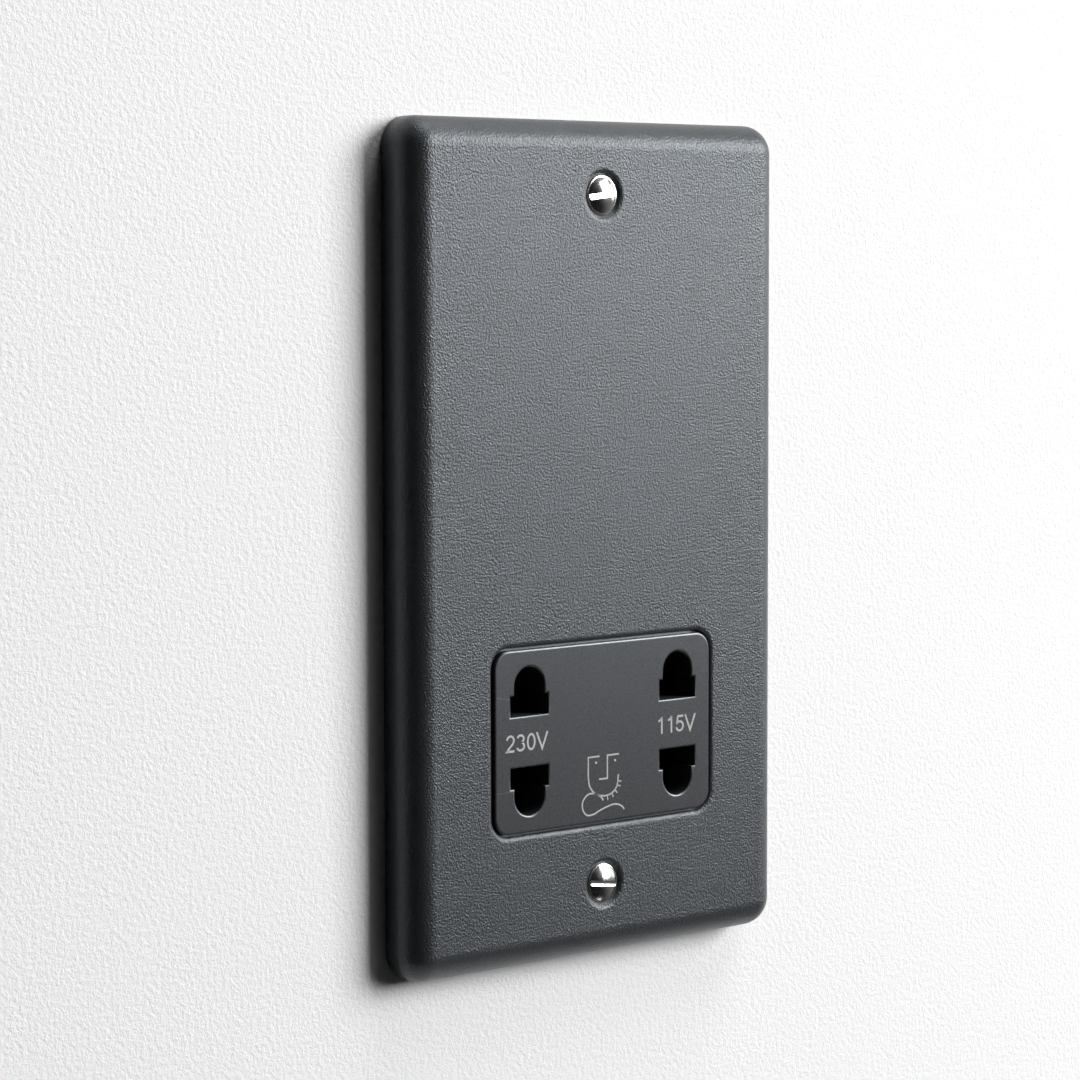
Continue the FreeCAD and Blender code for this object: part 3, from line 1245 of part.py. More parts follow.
def build_terminal_block():
    """Moulded shroud round the three supply terminals, below the housing's hump."""
    block = new_body("terminal_block")
    top = S.hump_bottom - S.slide_gap
    bottom = top - S.block_height
    half = S.terminal_pitch + S.terminal_size / 2 + S.terminal_wall * 3
    front = LOWER_DEPTH + S.moulding_gap
    brass_front = front + S.terminal_base
    brass_rear = brass_front + S.terminal_size
    rear = brass_rear + S.terminal_screw_show
    slab(block, "BlockBody", front, rear,
         lambda sketch: add_rounded(sketch, half * 2, top - bottom, S.terminal_wall),
         (ZERO, (top + bottom) / 2))

    def draw_cells(sketch):
        for name, place in TERMINALS:
            add_rectangle(sketch, (S.terminal_pitch * place, ZERO),
                          S.terminal_size + S.moulding_gap * 2, S.terminal_size + S.moulding_gap * 2)

    hollow(block, "TerminalCells", brass_front - S.moulding_gap, rear, draw_cells)
    hollow(block, "StrapCell", front, brass_rear,
           lambda sketch: add_rectangle(sketch, (STRAP_FACE - S.strap_thickness / 2, -S.earth_stud_z),
                                        S.strap_thickness + S.moulding_gap * 2,
                                        S.strap_width + S.moulding_gap * 2))
    hollow(block, "BlockLegSlots", front, brass_front,
           lambda sketch: add_leg_slots(sketch, S.moulding_gap))
    entries = new_sketch(block, "WireEntries", "XY_Plane", bottom)
    entry_width = S.wire_bore + S.pocket_gap * 2
    for name, place in TERMINALS:
        add_rectangle(entries, (S.terminal_pitch * place, brass_front + S.terminal_size / 2),
                      entry_width, entry_width)
    pocket(block, entries, top - bottom - S.terminal_wall, reverse=True)

    pieces = [block]
    for name, place in TERMINALS:
        brass = new_body(f"terminal_{name}")
        slab(brass, f"{name}_barrel", brass_front, brass_rear,
             lambda sketch: add_rectangle(sketch, (ZERO, ZERO), S.terminal_size, S.terminal_size),
             (S.terminal_pitch * place, ZERO))
        slab(brass, f"{name}_leg", BOARD_FRONT - S.hole_clearance, brass_front,
             lambda sketch: add_rectangle(sketch, (ZERO, ZERO), S.leg_thickness, S.leg_width),
             (S.terminal_pitch * place, ZERO))
        bore = new_sketch(brass, f"{name}_bore", "XY_Plane", ZERO)
        add_circle(bore, S.terminal_pitch * place, brass_front + S.terminal_size / 2, S.wire_bore / 2)
        pocket(brass, bore, S.terminal_size * 2, midplane=True)
        hollow(brass, f"{name}_thread", brass_front + S.terminal_size / 2, brass_rear,
               lambda sketch: add_circle(sketch, ZERO, ZERO,
                                         S.terminal_screw_diameter / 2 + S.moulding_gap),
               (S.terminal_pitch * place, ZERO))
        pieces.append(brass)

    screws = []
    shank_front = brass_front + (S.terminal_size + S.wire_bore) / 2
    slot_half = S.terminal_screw_slot / 2
    for name, place in TERMINALS:
        tag = f"terminal_screw_{name}"
        x = S.terminal_pitch * place
        blank = rod(tag + "_blank", "y", (x, shank_front, ZERO), S.terminal_screw_diameter / 2,
                    rear - shank_front)
        slot = box(tag + "_slot", (x - S.terminal_screw_diameter, x + S.terminal_screw_diameter),
                   (rear - S.terminal_screw_slot, rear + S.terminal_screw_slot), (-slot_half, slot_half))
        screws.append(cut(tag, blank, slot))
    pieces.append(group("terminal_screws", screws))
    return pieces


def build_earth_strap():
    """Strip from the plate's earth stud, bent back through the board to its terminal."""
    body = new_body("earth_strap")
    gauge = S.strap_thickness
    front = PLATE_INNER + S.moulding_gap
    rear = LOWER_DEPTH + S.moulding_gap + S.terminal_base + S.terminal_size - S.terminal_wall
    profile = new_sketch(body, "StrapProfile", "XY_Plane", -S.earth_stud_z)
    add_polygon(profile, [(STRAP_END, front), (STRAP_FACE, front), (STRAP_FACE, rear),
                          (STRAP_FACE - gauge, rear), (STRAP_FACE - gauge, front + gauge),
                          (STRAP_END, front + gauge)])
    pad(body, profile, S.strap_width, midplane=True)
    hollow(body, "StrapEye", front, front + gauge,
           lambda sketch: add_circle(sketch, -S.earth_stud_x, -S.earth_stud_z,
                                     S.stud_diameter / 2 + S.hole_clearance / 2))
    return body


def build_plate_nuts():
    """Thin hexagon nuts: four on the housing's flange and one on the earth stud."""
    places = [(S.stud_x * i, S.stud_z * j, FLANGE_BACK) for i in SIDES for j in SIDES]
    places.append((-S.earth_stud_x, -S.earth_stud_z,
                   PLATE_INNER + S.strap_thickness + S.moulding_gap * 2))
    nuts = []
    for number, (x, z, seat) in enumerate(places, start=1):
        hexagon = doc.addObject("Part::Prism", f"nut_blank_{number}")
        hexagon.Polygon = 6
        bind(hexagon, "Circumradius", S.nut_across_flats / 3 ** 0.5)
        bind(hexagon, "Height", S.nut_height)
        hexagon.Placement = FreeCAD.Placement(FreeCAD.Vector(), TURNS["y"])
        for letter, start in zip("xyz", (x, seat, z)):
            bind(hexagon, f"Placement.Base.{letter}", start)
        thread = rod(f"nut_thread_{number}", "y", (x, seat, z), S.stud_diameter / 2 + S.moulding_gap,
                     S.nut_height)
        nuts.append(cut(f"plate_nut_{number}", hexagon, thread))
    return group("plate_nuts", nuts)


def build_all():
    parts = [
        build_front_plate(),
        group("fixing_screws", [build_fixing_screw("screw_upper", 1, S.upper_slot_angle),
                                build_fixing_screw("screw_lower", -1, S.lower_slot_angle)]),
        build_socket_face(),
        build_inner_frame(),
        build_shutter(),
        build_shutter_spring(),
    ]
    for voltage, side in (("230", -1), ("115", 1)):
        for level, lift in (("upper", 1), ("lower", -1)):
            parts.append(build_contact(f"contact_{voltage}_{level}", side, lift))
    parts.append(build_pusher_bar())
    parts.append(build_pusher_springs())
    parts.extend(build_microswitch())
    parts.append(build_circuit_board())
    parts.append(build_board_screws())
    parts.append(build_rear_housing())
    parts.extend(build_transformer())
    parts.append(build_thermal_cutout())
    parts.append(build_winding_leads())
    parts.extend(build_terminal_block())
    parts.append(build_earth_strap())
    parts.append(build_plate_nuts())
    return parts


def main():
    parts = build_all()
    doc.recompute()
    for item in doc.Objects:
        if "Invalid" in item.State or "Error" in item.State:
            raise RuntimeError(f"{item.Label} failed: {item.State}")
    os.makedirs("parts", exist_ok=True)
    for part in parts:
        shape = part.Shape
        if shape.isNull() or not shape.isValid() or not shape.Solids:
            raise RuntimeError(f"{part.Label} has no valid solid")
        shape.exportStep(f"parts/{part.Label}.step")
        print(part.Label, len(shape.Solids), round(shape.Volume, 2))


main()
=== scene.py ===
import math

import bmesh
import bpy
from mathutils import Matrix, Vector
from mathutils.geometry import tessellate_polygon


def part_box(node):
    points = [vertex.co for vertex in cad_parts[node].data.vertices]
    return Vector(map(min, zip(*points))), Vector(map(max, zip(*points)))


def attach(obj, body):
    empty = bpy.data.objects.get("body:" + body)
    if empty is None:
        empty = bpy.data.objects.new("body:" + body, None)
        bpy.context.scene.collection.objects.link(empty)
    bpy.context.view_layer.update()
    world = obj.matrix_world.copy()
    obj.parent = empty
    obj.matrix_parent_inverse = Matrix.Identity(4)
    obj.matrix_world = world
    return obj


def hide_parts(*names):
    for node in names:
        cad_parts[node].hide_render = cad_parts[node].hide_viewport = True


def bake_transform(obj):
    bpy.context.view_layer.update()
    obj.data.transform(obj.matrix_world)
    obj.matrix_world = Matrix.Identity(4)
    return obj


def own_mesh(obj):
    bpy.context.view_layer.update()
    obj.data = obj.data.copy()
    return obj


# Looks of a two gang shaver socket on a wall. Sizes are in millimetres, in the frame of the
# solids: X to the right, Y into the wall, Z up, with the wall's face at y = 0. The wall, the
# floor, the lamps and the camera are placed in metres.

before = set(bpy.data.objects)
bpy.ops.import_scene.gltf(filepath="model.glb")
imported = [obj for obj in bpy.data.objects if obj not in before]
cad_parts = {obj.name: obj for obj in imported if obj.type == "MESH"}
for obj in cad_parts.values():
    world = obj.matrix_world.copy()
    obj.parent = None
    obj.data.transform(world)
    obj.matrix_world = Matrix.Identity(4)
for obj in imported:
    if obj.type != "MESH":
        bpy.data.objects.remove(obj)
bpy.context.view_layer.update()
MM = 0.001
SIDES = (-1, 1)

# The pressed plate, its dished screw holes and its weld studs, each with its place and end level

PLATE_HALF = (43.0, 73.25)
PLATE_FRONT, PLATE_INNER = -7.8, -6.6
GAUGE = 1.2
EDGE_ROLL = 5.0
PLATE_CORNER = 5.25
LEAST_CORNER = 0.12
RIM_ROUND = 0.25
LIP_WIDTH, LIP_DEPTH = 0.95, 0.6
FIXING_HEIGHT = 60.3
HEAD_RADIUS = 3.5
HOLE_RADIUS = 2.0
SEAT = -7.1
DIMPLE_LIP = 0.6
DIMPLE_SLOPE = math.pi / 4
BUMP_REAR = -4.6
STUD_RADIUS, STUD_PITCH = 1.5, 0.5
STUDS = (((24.0, 60.5), 0.3), ((-24.0, 60.5), 0.3), ((24.0, -60.5), 0.3), ((-24.0, -60.5), 0.3),
         ((-24.0, -2.0), -4.1))

# The face, its flange behind the plate, and its keyholes, all about the height of the mechanism

MECHANISM = -33.4
FACE_HALF = (25.15, 15.9)
FACE_CORNER = 3.2
FACE_GAP = 0.4
FACE_FRONT = -7.95
FACE_EDGE = 0.3
EDGE_SLOPE = ((FACE_EDGE, 0.0), (0.18, 0.025), (0.07, 0.07), (0.015, 0.13), (0.0, 0.2))
FLANGE_LEVELS = (-6.55, -5.05)
FLANGE_WIDTH = 2.2
OPENING_X = 17.35
BLADE_HALF = 4.275
BLADE_ENDS = (4.42, 8.05)
ARCH_RADIUS, ARCH_CENTRE = 3.4, 9.55
TUNNEL_WALL = 1.2
TUNNEL_CORNER = 0.3
TUNNEL_REAR = -2.75

# A narrow ring beside each rounded edge holds the smooth shading off the flats
HOLD = 0.12

# Threads: depth as a share of the pitch, rows of points a turn, start of the fade, and flanks
THREAD_DEPTH, THREAD_ROWS, THREAD_START, THREAD_FLANK = 0.55, 6, 0.05, 2.4

# The fixing screws, with a slot whose floor slopes up to one side

HEAD_RIM, DOME_EDGE, DOME_APEX = -7.3, -7.43, -8.2
DOME_RADIUS = 3.1
CREASE_OUT, CREASE_UP = 0.04, 0.02
TIP_RADIUS = 1e-4
SLOT_DEPTH, SLOT_HALF = 0.72, 0.5
SLOT_BEND, SLOT_SLOPE = -0.05, 0.2
SLOT_ANGLES = (7.6, -6.9)
NECK_RADIUS, NECK_END = 1.55, -4.2
SCREW_RADIUS, SCREW_PITCH = 1.75, 0.6
SCREW_THREAD = (-4.1, 27.2)

# The printed marks and the weld lines: levels, strokes and places

MARK_LEVEL, INK = FACE_FRONT - 0.012, 0.03
WORDS = (("230V", -22.85), ("115V", 12.15))
WORD_FOOT, WORD_STROKE = -35.0, 0.38
SIGN_STROKE = 0.28
JAW = ((-3.92, -39.0), (-3.92, -41.0), (-3.62, -42.6), (-2.83, -43.7), (-1.74, -44.36),
       (-0.3, -44.68), (1.0, -44.58), (2.1, -44.05), (2.85, -43.1), (3.15, -41.2))
BRISTLES = (0.645, 0.733, 0.82, 0.905, 0.957)
BRISTLE_LENGTH, BRISTLE_STROKE = 0.85, 0.85
BROW = ((-1.3, -37.58), (-3.92, -37.58), (-3.92, -39.0))
NOSE = ((3.3, -37.58), (0.55, -37.58), (0.55, -41.65), (-1.4, -41.65))
CORD = ((-0.43, -45.47), (-0.86, -44.9), (-1.74, -44.42), (-2.6, -44.05), (-3.7, -44.02),
        (-4.57, -44.45), (-5.25, -45.35), (-5.25, -46.5), (-4.7, -47.4), (-3.9, -47.8),
        (-2.6, -47.7), (-1.3, -47.2), (0.45, -46.7), (1.97, -46.42), (3.07, -46.55),
        (3.94, -46.95), (4.55, -47.55))
EYES = ((-2.1, -38.65), (2.4, -38.65))
EYE_RADIUS = 0.23
WELD_LEVEL, WELD_STROKE = FACE_FRONT - 0.006, 0.09
WELD_LINES = (((-24.8, -25.3), (-21.8, -25.9)), ((-24.8, -41.85), (-21.0, -41.8)))

# The strip springs

STRIP = 0.4
SHUTTER_FOLDS, PUSHER_FOLDS = 5, 3
PUSHER_SPRING_X = 14.0


# Mesh building: rings of points at a level, bands between rings, and flat fills

def add_object(name, data):
    made = bpy.data.objects.new(name, data)
    bpy.context.scene.collection.objects.link(made)
    return made


def add_smooth(name, mesh, sharp):
    """An object with smooth faces, and sharp edges from an angle in degrees."""
    for face in mesh.polygons:
        face.use_smooth = True
    mesh.set_sharp_from_angle(angle=math.radians(sharp))
    return add_object(name, mesh)


class Skin:
    """Points and faces of one piece, gathered ring by ring, in millimetres."""

    def __init__(self):
        self.points = []
        self.faces = []

    def loop(self, points):
        first = len(self.points)
        self.points += [Vector(point) for point in points]
        return list(range(first, len(self.points)))

    def ring(self, pairs, y):
        return self.loop([(x, y, z) for x, z in pairs])

    def band(self, near, far):
        for here in range(len(near)):
            following = (here + 1) % len(near)
            self.faces.append((near[here], near[following], far[following], far[here]))

    def bands(self, rings):
        for near, far in zip(rings, rings[1:]):
            self.band(near, far)

    def fill(self, rings):
        """Flat area inside the first ring and outside the others."""
        order = [index for ring in rings for index in ring]
        lines = [[self.points[index] for index in ring] for ring in rings]
        self.faces += [tuple(order[corner] for corner in face)
                       for face in tessellate_polygon(lines)]

    def piece(self, name):
        """The skin as an object, in metres, with its faces turned outwards."""
        mesh = bpy.data.meshes.new(name)
        build = bmesh.new()
        corners = [build.verts.new(point * MM) for point in self.points]
        for face in self.faces:
            build.faces.new([corners[index] for index in face])
        bmesh.ops.remove_doubles(build, verts=build.verts, dist=1e-8)
        bmesh.ops.recalc_face_normals(build, faces=build.faces)
        build.to_mesh(mesh)
        build.free()
        return add_smooth(name, mesh, 30)


def rounded(half, radius, centre=(0.0, 0.0), steps=10):
    """Points round a rectangle with rounded corners, as (x, z) pairs."""
    points = []
    for quarter, (i, j) in enumerate(((1, 1), (-1, 1), (-1, -1), (1, -1))):
        x = centre[0] + (half[0] - radius) * i
        z = centre[1] + (half[1] - radius) * j
        for step in range(steps + 1):
            angle = (quarter + step / steps) * math.pi / 2
            points.append((x + radius * math.cos(angle), z + radius * math.sin(angle)))
    return points


def circle(radius, centre, steps=48):
    x, z = centre
    turn = 2 * math.pi / steps
    return [(x + radius * math.cos(turn * step), z + radius * math.sin(turn * step))
            for step in range(steps)]


def quarter_arc(steps):
    """Sine and cosine from 0 to a quarter turn."""
    return [(math.sin(step / steps * math.pi / 2), math.cos(step / steps * math.pi / 2))
            for step in range(steps + 1)]


def spread(points, distance):
    """The closed outline moved outwards by a distance, with mitred corners."""
    count = len(points)
    area = sum(points[i - 1][0] * points[i][1] - points[i][0] * points[i - 1][1]
               for i in range(count))
    outward = 1 if area > 0 else -1
    moved = []
    for i, point in enumerate(points):
        before, after = Vector(points[i - 1]), Vector(points[(i + 1) % count])
        here = Vector(point)
        a, b = (here - before).normalized(), (after - here).normalized()
        normal_a, normal_b = Vector((a.y, -a.x)) * outward, Vector((b.y, -b.x)) * outward
        mitre = (normal_a + normal_b).normalized()
        moved.append(tuple(here + mitre * (distance / max(mitre.dot(normal_a), 0.3))))
    return moved


def add_thread(skin, place, radius, start, end, pitch, steps=28):
    """A screw thread along Y as a closed shell, which fades into its root at both ends."""
    depth = THREAD_DEPTH * pitch
    rows = int((end - start) / pitch * THREAD_ROWS)
    rings = []
    for row in range(rows + 1):
        y = start + (end - start) * row / rows
        fade = max(min(1.0, (end - y) / pitch, (y - start) / pitch + THREAD_START), 0.0)
        points = []
        for step in range(steps):
            share = step / steps
            phase = (y / pitch - share) % 1.0
            ridge = max(0.0, 1 - abs(phase - 0.5) * THREAD_FLANK)
            out = radius - depth + depth * ridge * fade
            angle = share * 2 * math.pi
            points.append((place[0] + out * math.cos(angle), place[1] + out * math.sin(angle)))
        rings.append(skin.ring(points, y))
    skin.bands(rings)
    skin.fill([rings[0]])
    skin.fill([rings[-1]])


def dimple_profile():
    """Front of a screw dimple from the flat to the hole, as (radius, y) pairs."""
    mouth = HEAD_RADIUS + SEAT - PLATE_FRONT
    bend = DIMPLE_LIP / math.tan(DIMPLE_SLOPE / 2)
    start = mouth + DIMPLE_LIP
    profile = [(start + HOLD, PLATE_FRONT)]
    for step in range(9):
        angle = step / 8 * DIMPLE_SLOPE
        profile.append((start - bend * math.sin(angle),
                        PLATE_FRONT + bend * (1 - math.cos(angle))))
    seat_end = SEAT + HEAD_RADIUS - HOLE_RADIUS
    profile += [(HOLE_RADIUS, seat_end), (HOLE_RADIUS, BUMP_REAR)]
    return profile


def build_plate():
    """Pressed plate: rolled edges, rounded cut-out lip, dished screw holes, weld studs."""
    skin = Skin()

    def outline(inset):
        half = [length - inset for length in PLATE_HALF]
        return rounded(half, max(PLATE_CORNER - inset, LEAST_CORNER))

    profile = [(EDGE_ROLL + HOLD, PLATE_FRONT)]
    profile += [(EDGE_ROLL * (1 - s), PLATE_FRONT + EDGE_ROLL * (1 - c))
                for s, c in quarter_arc(12)]
    profile += [(RIM_ROUND * (1 - c), RIM_ROUND * (s - 1)) for s, c in quarter_arc(3)]
    profile += [(GAUGE - RIM_ROUND * (1 - s), RIM_ROUND * (c - 1)) for s, c in quarter_arc(3)]
    roll = EDGE_ROLL - GAUGE
    profile += [(GAUGE + roll * (1 - c), PLATE_INNER + roll * (1 - s)) for s, c in quarter_arc(8)]
    profile += [(EDGE_ROLL + HOLD, PLATE_INNER)]
    rings = [skin.ring(outline(inset), y) for inset, y in profile]
    skin.bands(rings)

    hole_half = [length + FACE_GAP for length in FACE_HALF]
    corner = FACE_CORNER + FACE_GAP

    def cutout(grow):
        return rounded([length + grow for length in hole_half], corner + grow, (0, MECHANISM))

    lip = [(LIP_WIDTH + HOLD, PLATE_FRONT)]
    lip += [(LIP_WIDTH * (1 - s), PLATE_FRONT + LIP_DEPTH * (1 - c)) for s, c in quarter_arc(8)]
    lip += [(0.0, PLATE_INNER)]
    lip_rings = [skin.ring(cutout(grow), y) for grow, y in lip]
    skin.bands(lip_rings)

    front, back = [rings[0], lip_rings[0]], [rings[-1], lip_rings[-1]]
    bump_root = HEAD_RADIUS + GAUGE * math.sqrt(2) - (PLATE_INNER - SEAT)
    bump_end = HEAD_RADIUS + GAUGE * math.sqrt(2) - (BUMP_REAR - SEAT)
    for side in SIDES:
        centre = (0, FIXING_HEIGHT * side)
        dish = [skin.ring(circle(radius, centre), y) for radius, y in dimple_profile()]
        bump = [skin.ring(circle(bump_end, centre), BUMP_REAR),
                skin.ring(circle(bump_root, centre), PLATE_INNER)]
        skin.bands(dish + bump)
        front.append(dish[0])
        back.append(bump[-1])
    skin.fill(front)
    skin.fill(back)

    for place, end in STUDS:
        add_thread(skin, place, STUD_RADIUS, PLATE_INNER - GAUGE / 2, end, STUD_PITCH, steps=20)
    return skin.piece("plate_pressing")


def keyhole(side, lift, steps=14):
    """Outline of a pin opening: a blade slot with an arch on the side away from the middle."""
    x = OPENING_X * side
    points = []
    for step in range(steps + 1):
        angle = step / steps * math.pi
        points.append((x - ARCH_RADIUS * math.cos(angle),
                       ARCH_CENTRE + ARCH_RADIUS * math.sin(angle)))
    inner, outer = BLADE_ENDS
    points += [(x + ARCH_RADIUS, outer), (x + BLADE_HALF, outer), (x + BLADE_HALF, inner),
               (x - BLADE_HALF, inner), (x - BLADE_HALF, outer), (x - ARCH_RADIUS, outer)]
    return [(across, MECHANISM + lift * up) for across, up in points]


def build_face():
    """Socket face: rounded edges, four keyhole tunnels, and the flange behind the plate."""
    skin = Skin()

    def outline(grow):
        return rounded([length + grow for length in FACE_HALF], FACE_CORNER + grow, (0, MECHANISM))

    profile = [(-FACE_EDGE - HOLD, FACE_FRONT)]
    profile += [(-inset, FACE_FRONT + drop) for inset, drop in EDGE_SLOPE]
    profile += [(0.0, FLANGE_LEVELS[0]), (FLANGE_WIDTH, FLANGE_LEVELS[0]),
                (FLANGE_WIDTH, FLANGE_LEVELS[1])]
    rings = [skin.ring(outline(grow), y) for grow, y in profile]
    skin.bands(rings)

    front, back = [rings[0]], [rings[-1]]
    low = BLADE_ENDS[0] - TUNNEL_WALL
    high = ARCH_CENTRE + ARCH_RADIUS + TUNNEL_WALL
    half = (BLADE_HALF + TUNNEL_WALL, (high - low) / 2)
    for side in SIDES:
        for lift in SIDES:
            hole = keyhole(side, lift)
            edge = [(FACE_EDGE + HOLD, FACE_FRONT)]
            edge += [(inset, FACE_FRONT + drop) for inset, drop in EDGE_SLOPE]
            edge += [(0.0, TUNNEL_REAR)]
            hole_rings = [skin.ring(spread(hole, grow) if grow else hole, y) for grow, y in edge]
            skin.bands(hole_rings)
            front.append(hole_rings[0])
            middle = (OPENING_X * side, MECHANISM + lift * (low + high) / 2)
            tunnel = rounded(half, TUNNEL_CORNER, middle, 3)
            walls = [skin.ring(tunnel, FLANGE_LEVELS[1]), skin.ring(tunnel, TUNNEL_REAR)]
            skin.bands(walls)
            back.append(walls[0])
            skin.fill([walls[1], hole_rings[-1]])
    skin.fill(front)
    skin.fill(back)
    return skin.piece("face_moulding")


def screw_head(name):
    """Turned head and neck of a raised countersunk screw, its slot not yet cut."""
    rise = DOME_EDGE - DOME_APEX
    ball = (DOME_RADIUS ** 2 + rise ** 2) / (2 * rise)
    profile = []
    for step in range(15):
        angle = math.asin(DOME_RADIUS / ball) * step / 14
        profile.append((ball * math.sin(angle), DOME_APEX + ball * (1 - math.cos(angle))))
    profile.append((DOME_RADIUS + CREASE_OUT, HEAD_RIM - CREASE_UP))
    roll = SEAT - HEAD_RIM
    profile += [(HEAD_RADIUS - roll * (1 - s), HEAD_RIM + roll * (1 - c))
                for s, c in quarter_arc(6)]
    profile += [(NECK_RADIUS, SEAT + HEAD_RADIUS - NECK_RADIUS), (NECK_RADIUS, NECK_END)]
    skin = Skin()
    rings = [skin.ring(circle(max(radius, TIP_RADIUS), (0, 0), 72), y) for radius, y in profile]
    skin.bands(rings)
    skin.fill([rings[0]])
    skin.fill([rings[-1]])
    return skin.piece(name)


def slot_cutter(name):
    """A bar along X, wider than the head, with the section of the screwdriver slot."""
    floor, clear = DOME_APEX + SLOT_DEPTH, DOME_APEX - 1.0
    raised = floor - (SLOT_HALF + SLOT_BEND) * SLOT_SLOPE
    section = [(clear, -SLOT_HALF), (raised, -SLOT_HALF), (floor, SLOT_BEND),
               (floor, SLOT_HALF), (clear, SLOT_HALF)]
    skin = Skin()
    ends = [skin.loop([(x, y, z) for y, z in section]) for x in (-8.0, 8.0)]
    skin.bands(ends)
    skin.fill([ends[0]])
    skin.fill([ends[1]])
    return skin.piece(name)


def build_screw(name, side, slot_degrees):
    """Raised countersunk screw with a slotted dome and a turned thread."""
    head, cutter = screw_head(name + "_head"), slot_cutter(name + "_tool")
    groove = head.modifiers.new("slot", "BOOLEAN")
    groove.object = cutter
    groove.solver = "EXACT"
    graph = bpy.context.evaluated_depsgraph_get()
    build = bmesh.new()
    build.from_mesh(bpy.data.meshes.new_from_object(head.evaluated_get(graph)))
    thread = Skin()
    add_thread(thread, (0, 0), SCREW_RADIUS, *SCREW_THREAD, SCREW_PITCH)
    shank = thread.piece(name + "_thread")
    build.from_mesh(shank.data)
    for spare in (head, cutter, shank):
        bpy.data.objects.remove(spare)
    turn = Matrix.Rotation(-math.radians(slot_degrees), 4, "Y")
    place = Matrix.Translation((0, 0, FIXING_HEIGHT * side * MM))
    bmesh.ops.transform(build, matrix=place @ turn, verts=build.verts)
    mesh = bpy.data.meshes.new(name)
    build.to_mesh(mesh)
    build.free()
    return add_smooth(name, mesh, 18)


# Printed marks: strokes of even width on the face

def ellipse(centre, half, start, end, steps=16):
    """Points of an ellipse between two angles in degrees."""
    points = []
    for step in range(steps + 1):
        angle = math.radians(start + (end - start) * step / steps)
        points.append((centre[0] + half[0] * math.cos(angle),
                       centre[1] + half[1] * math.sin(angle)))
    return points


def flowing(points, steps=8):
    """A smooth line through the points."""
    ends = [points[0]] + list(points) + [points[-1]]
    line = []
    for a, b, c, d in zip(ends, ends[1:], ends[2:], ends[3:]):
        a, b, c, d = (Vector(p) for p in (a, b, c, d))
        for step in range(steps):
            t = step / steps
            line.append(tuple(0.5 * (2 * b + (c - a) * t + (2 * a - 5 * b + 4 * c - d) * t * t
                                     + (3 * b - a - 3 * c + d) * t ** 3)))
    line.append(tuple(points[-1]))
    return line


def add_stroke(skin, line, width, level, depth=INK):
    """A flat stroke of even width along the line, from a level inwards."""
    tidy = [line[0]]
    for point in line[1:]:
        if (Vector(point) - Vector(tidy[-1])).length > 0.01:
            tidy.append(point)
    left, right = [], []
    for i, point in enumerate(tidy):
        here = Vector(point)
        before = Vector(tidy[max(i - 1, 0)])
        after = Vector(tidy[min(i + 1, len(tidy) - 1)])
        a = (here - before).normalized() if i else (after - here).normalized()
        b = (after - here).normalized() if i < len(tidy) - 1 else a
        normal_a, normal_b = Vector((-a.y, a.x)), Vector((-b.y, b.x))
        mitre = (normal_a + normal_b).normalized()
        reach = width / 2 / max(mitre.dot(normal_a), 0.4)
        left.append(tuple(here + mitre * reach))
        right.append(tuple(here - mitre * reach))
    outline = left + right[::-1]
    top, bottom = skin.ring(outline, level), skin.ring(outline, level + depth)
    skin.band(top, bottom)
    count = len(left)
    for i in range(count - 1):
        other = 2 * count - 1 - i
        for ring in (top, bottom):
            skin.faces.append((ring[i], ring[i + 1], ring[other - 1], ring[other]))


def glyph(letter):
    """Centre lines of a plain numeral or V, with its advance, for a height of 3."""
    if letter == "0":
        return [ellipse((1.16, 1.5), (0.8, 1.31), 0, 360, 28)], 2.33
    if letter == "1":
        flag = flowing([(1.40, 2.86), (1.08, 2.5), (0.62, 2.24)])
        return [[(1.42, 0.0), (1.42, 3.0)], flag], 2.33
    if letter == "2":
        bowl = ellipse((1.13, 2.07), (0.77, 0.74), 172, 0, 14)
        tail = flowing([(1.9, 2.07), (1.72, 1.55), (1.2, 1.05), (0.62, 0.55), (0.33, 0.19)])
        return [bowl + tail[1:] + [(2.02, 0.19)]], 2.33
    if letter == "3":
        upper = ellipse((1.1, 2.2), (0.7, 0.61), 165, -90, 14)
        lower = ellipse((1.1, 0.89), (0.8, 0.7), 90, -165, 16)
        return [upper, lower], 2.33
    if letter == "5":
        stem = [(1.95, 2.81), (0.68, 2.81), (0.42, 1.42)]
        bowl = ellipse((1.1, 1.02), (0.83, 0.83), 140, -168, 18)
        return [stem, bowl], 2.33
    return [[(0.1, 3.0), (1.32, 0.12), (2.54, 3.0)]], 2.79


def build_words():
    """The two voltages."""
    skin = Skin()
    for word, left in WORDS:
        for letter in word:
            lines, advance = glyph(letter)
            for line in lines:
                placed = [(left + across, WORD_FOOT + up) for across, up in line]
                add_stroke(skin, placed, WORD_STROKE, MARK_LEVEL)
            left += advance
    return skin.piece("voltage_marks")


def build_sign():
    """The usual sign for shavers: a face with bristles, and the shaver's cord."""
    skin = Skin()
    jaw = flowing(JAW)
    for line in (BROW, jaw, NOSE, flowing(CORD)):
        add_stroke(skin, line, SIGN_STROKE, MARK_LEVEL)
    for share in BRISTLES:
        index = int(share * (len(jaw) - 2))
        here, after = Vector(jaw[index]), Vector(jaw[index + 1])
        along = (after - here).normalized()
        out = Vector((along.y, -along.x))
        bristle = [tuple(here), tuple(here + out * BRISTLE_LENGTH)]
        add_stroke(skin, bristle, SIGN_STROKE * BRISTLE_STROKE, MARK_LEVEL)
    for eye in EYES:
        dot = circle(EYE_RADIUS, eye, 16)
        top, bottom = skin.ring(dot, MARK_LEVEL), skin.ring(dot, MARK_LEVEL + INK)
        skin.band(top, bottom)
        skin.fill([top])
        skin.fill([bottom])
    return skin.piece("shaver_sign")


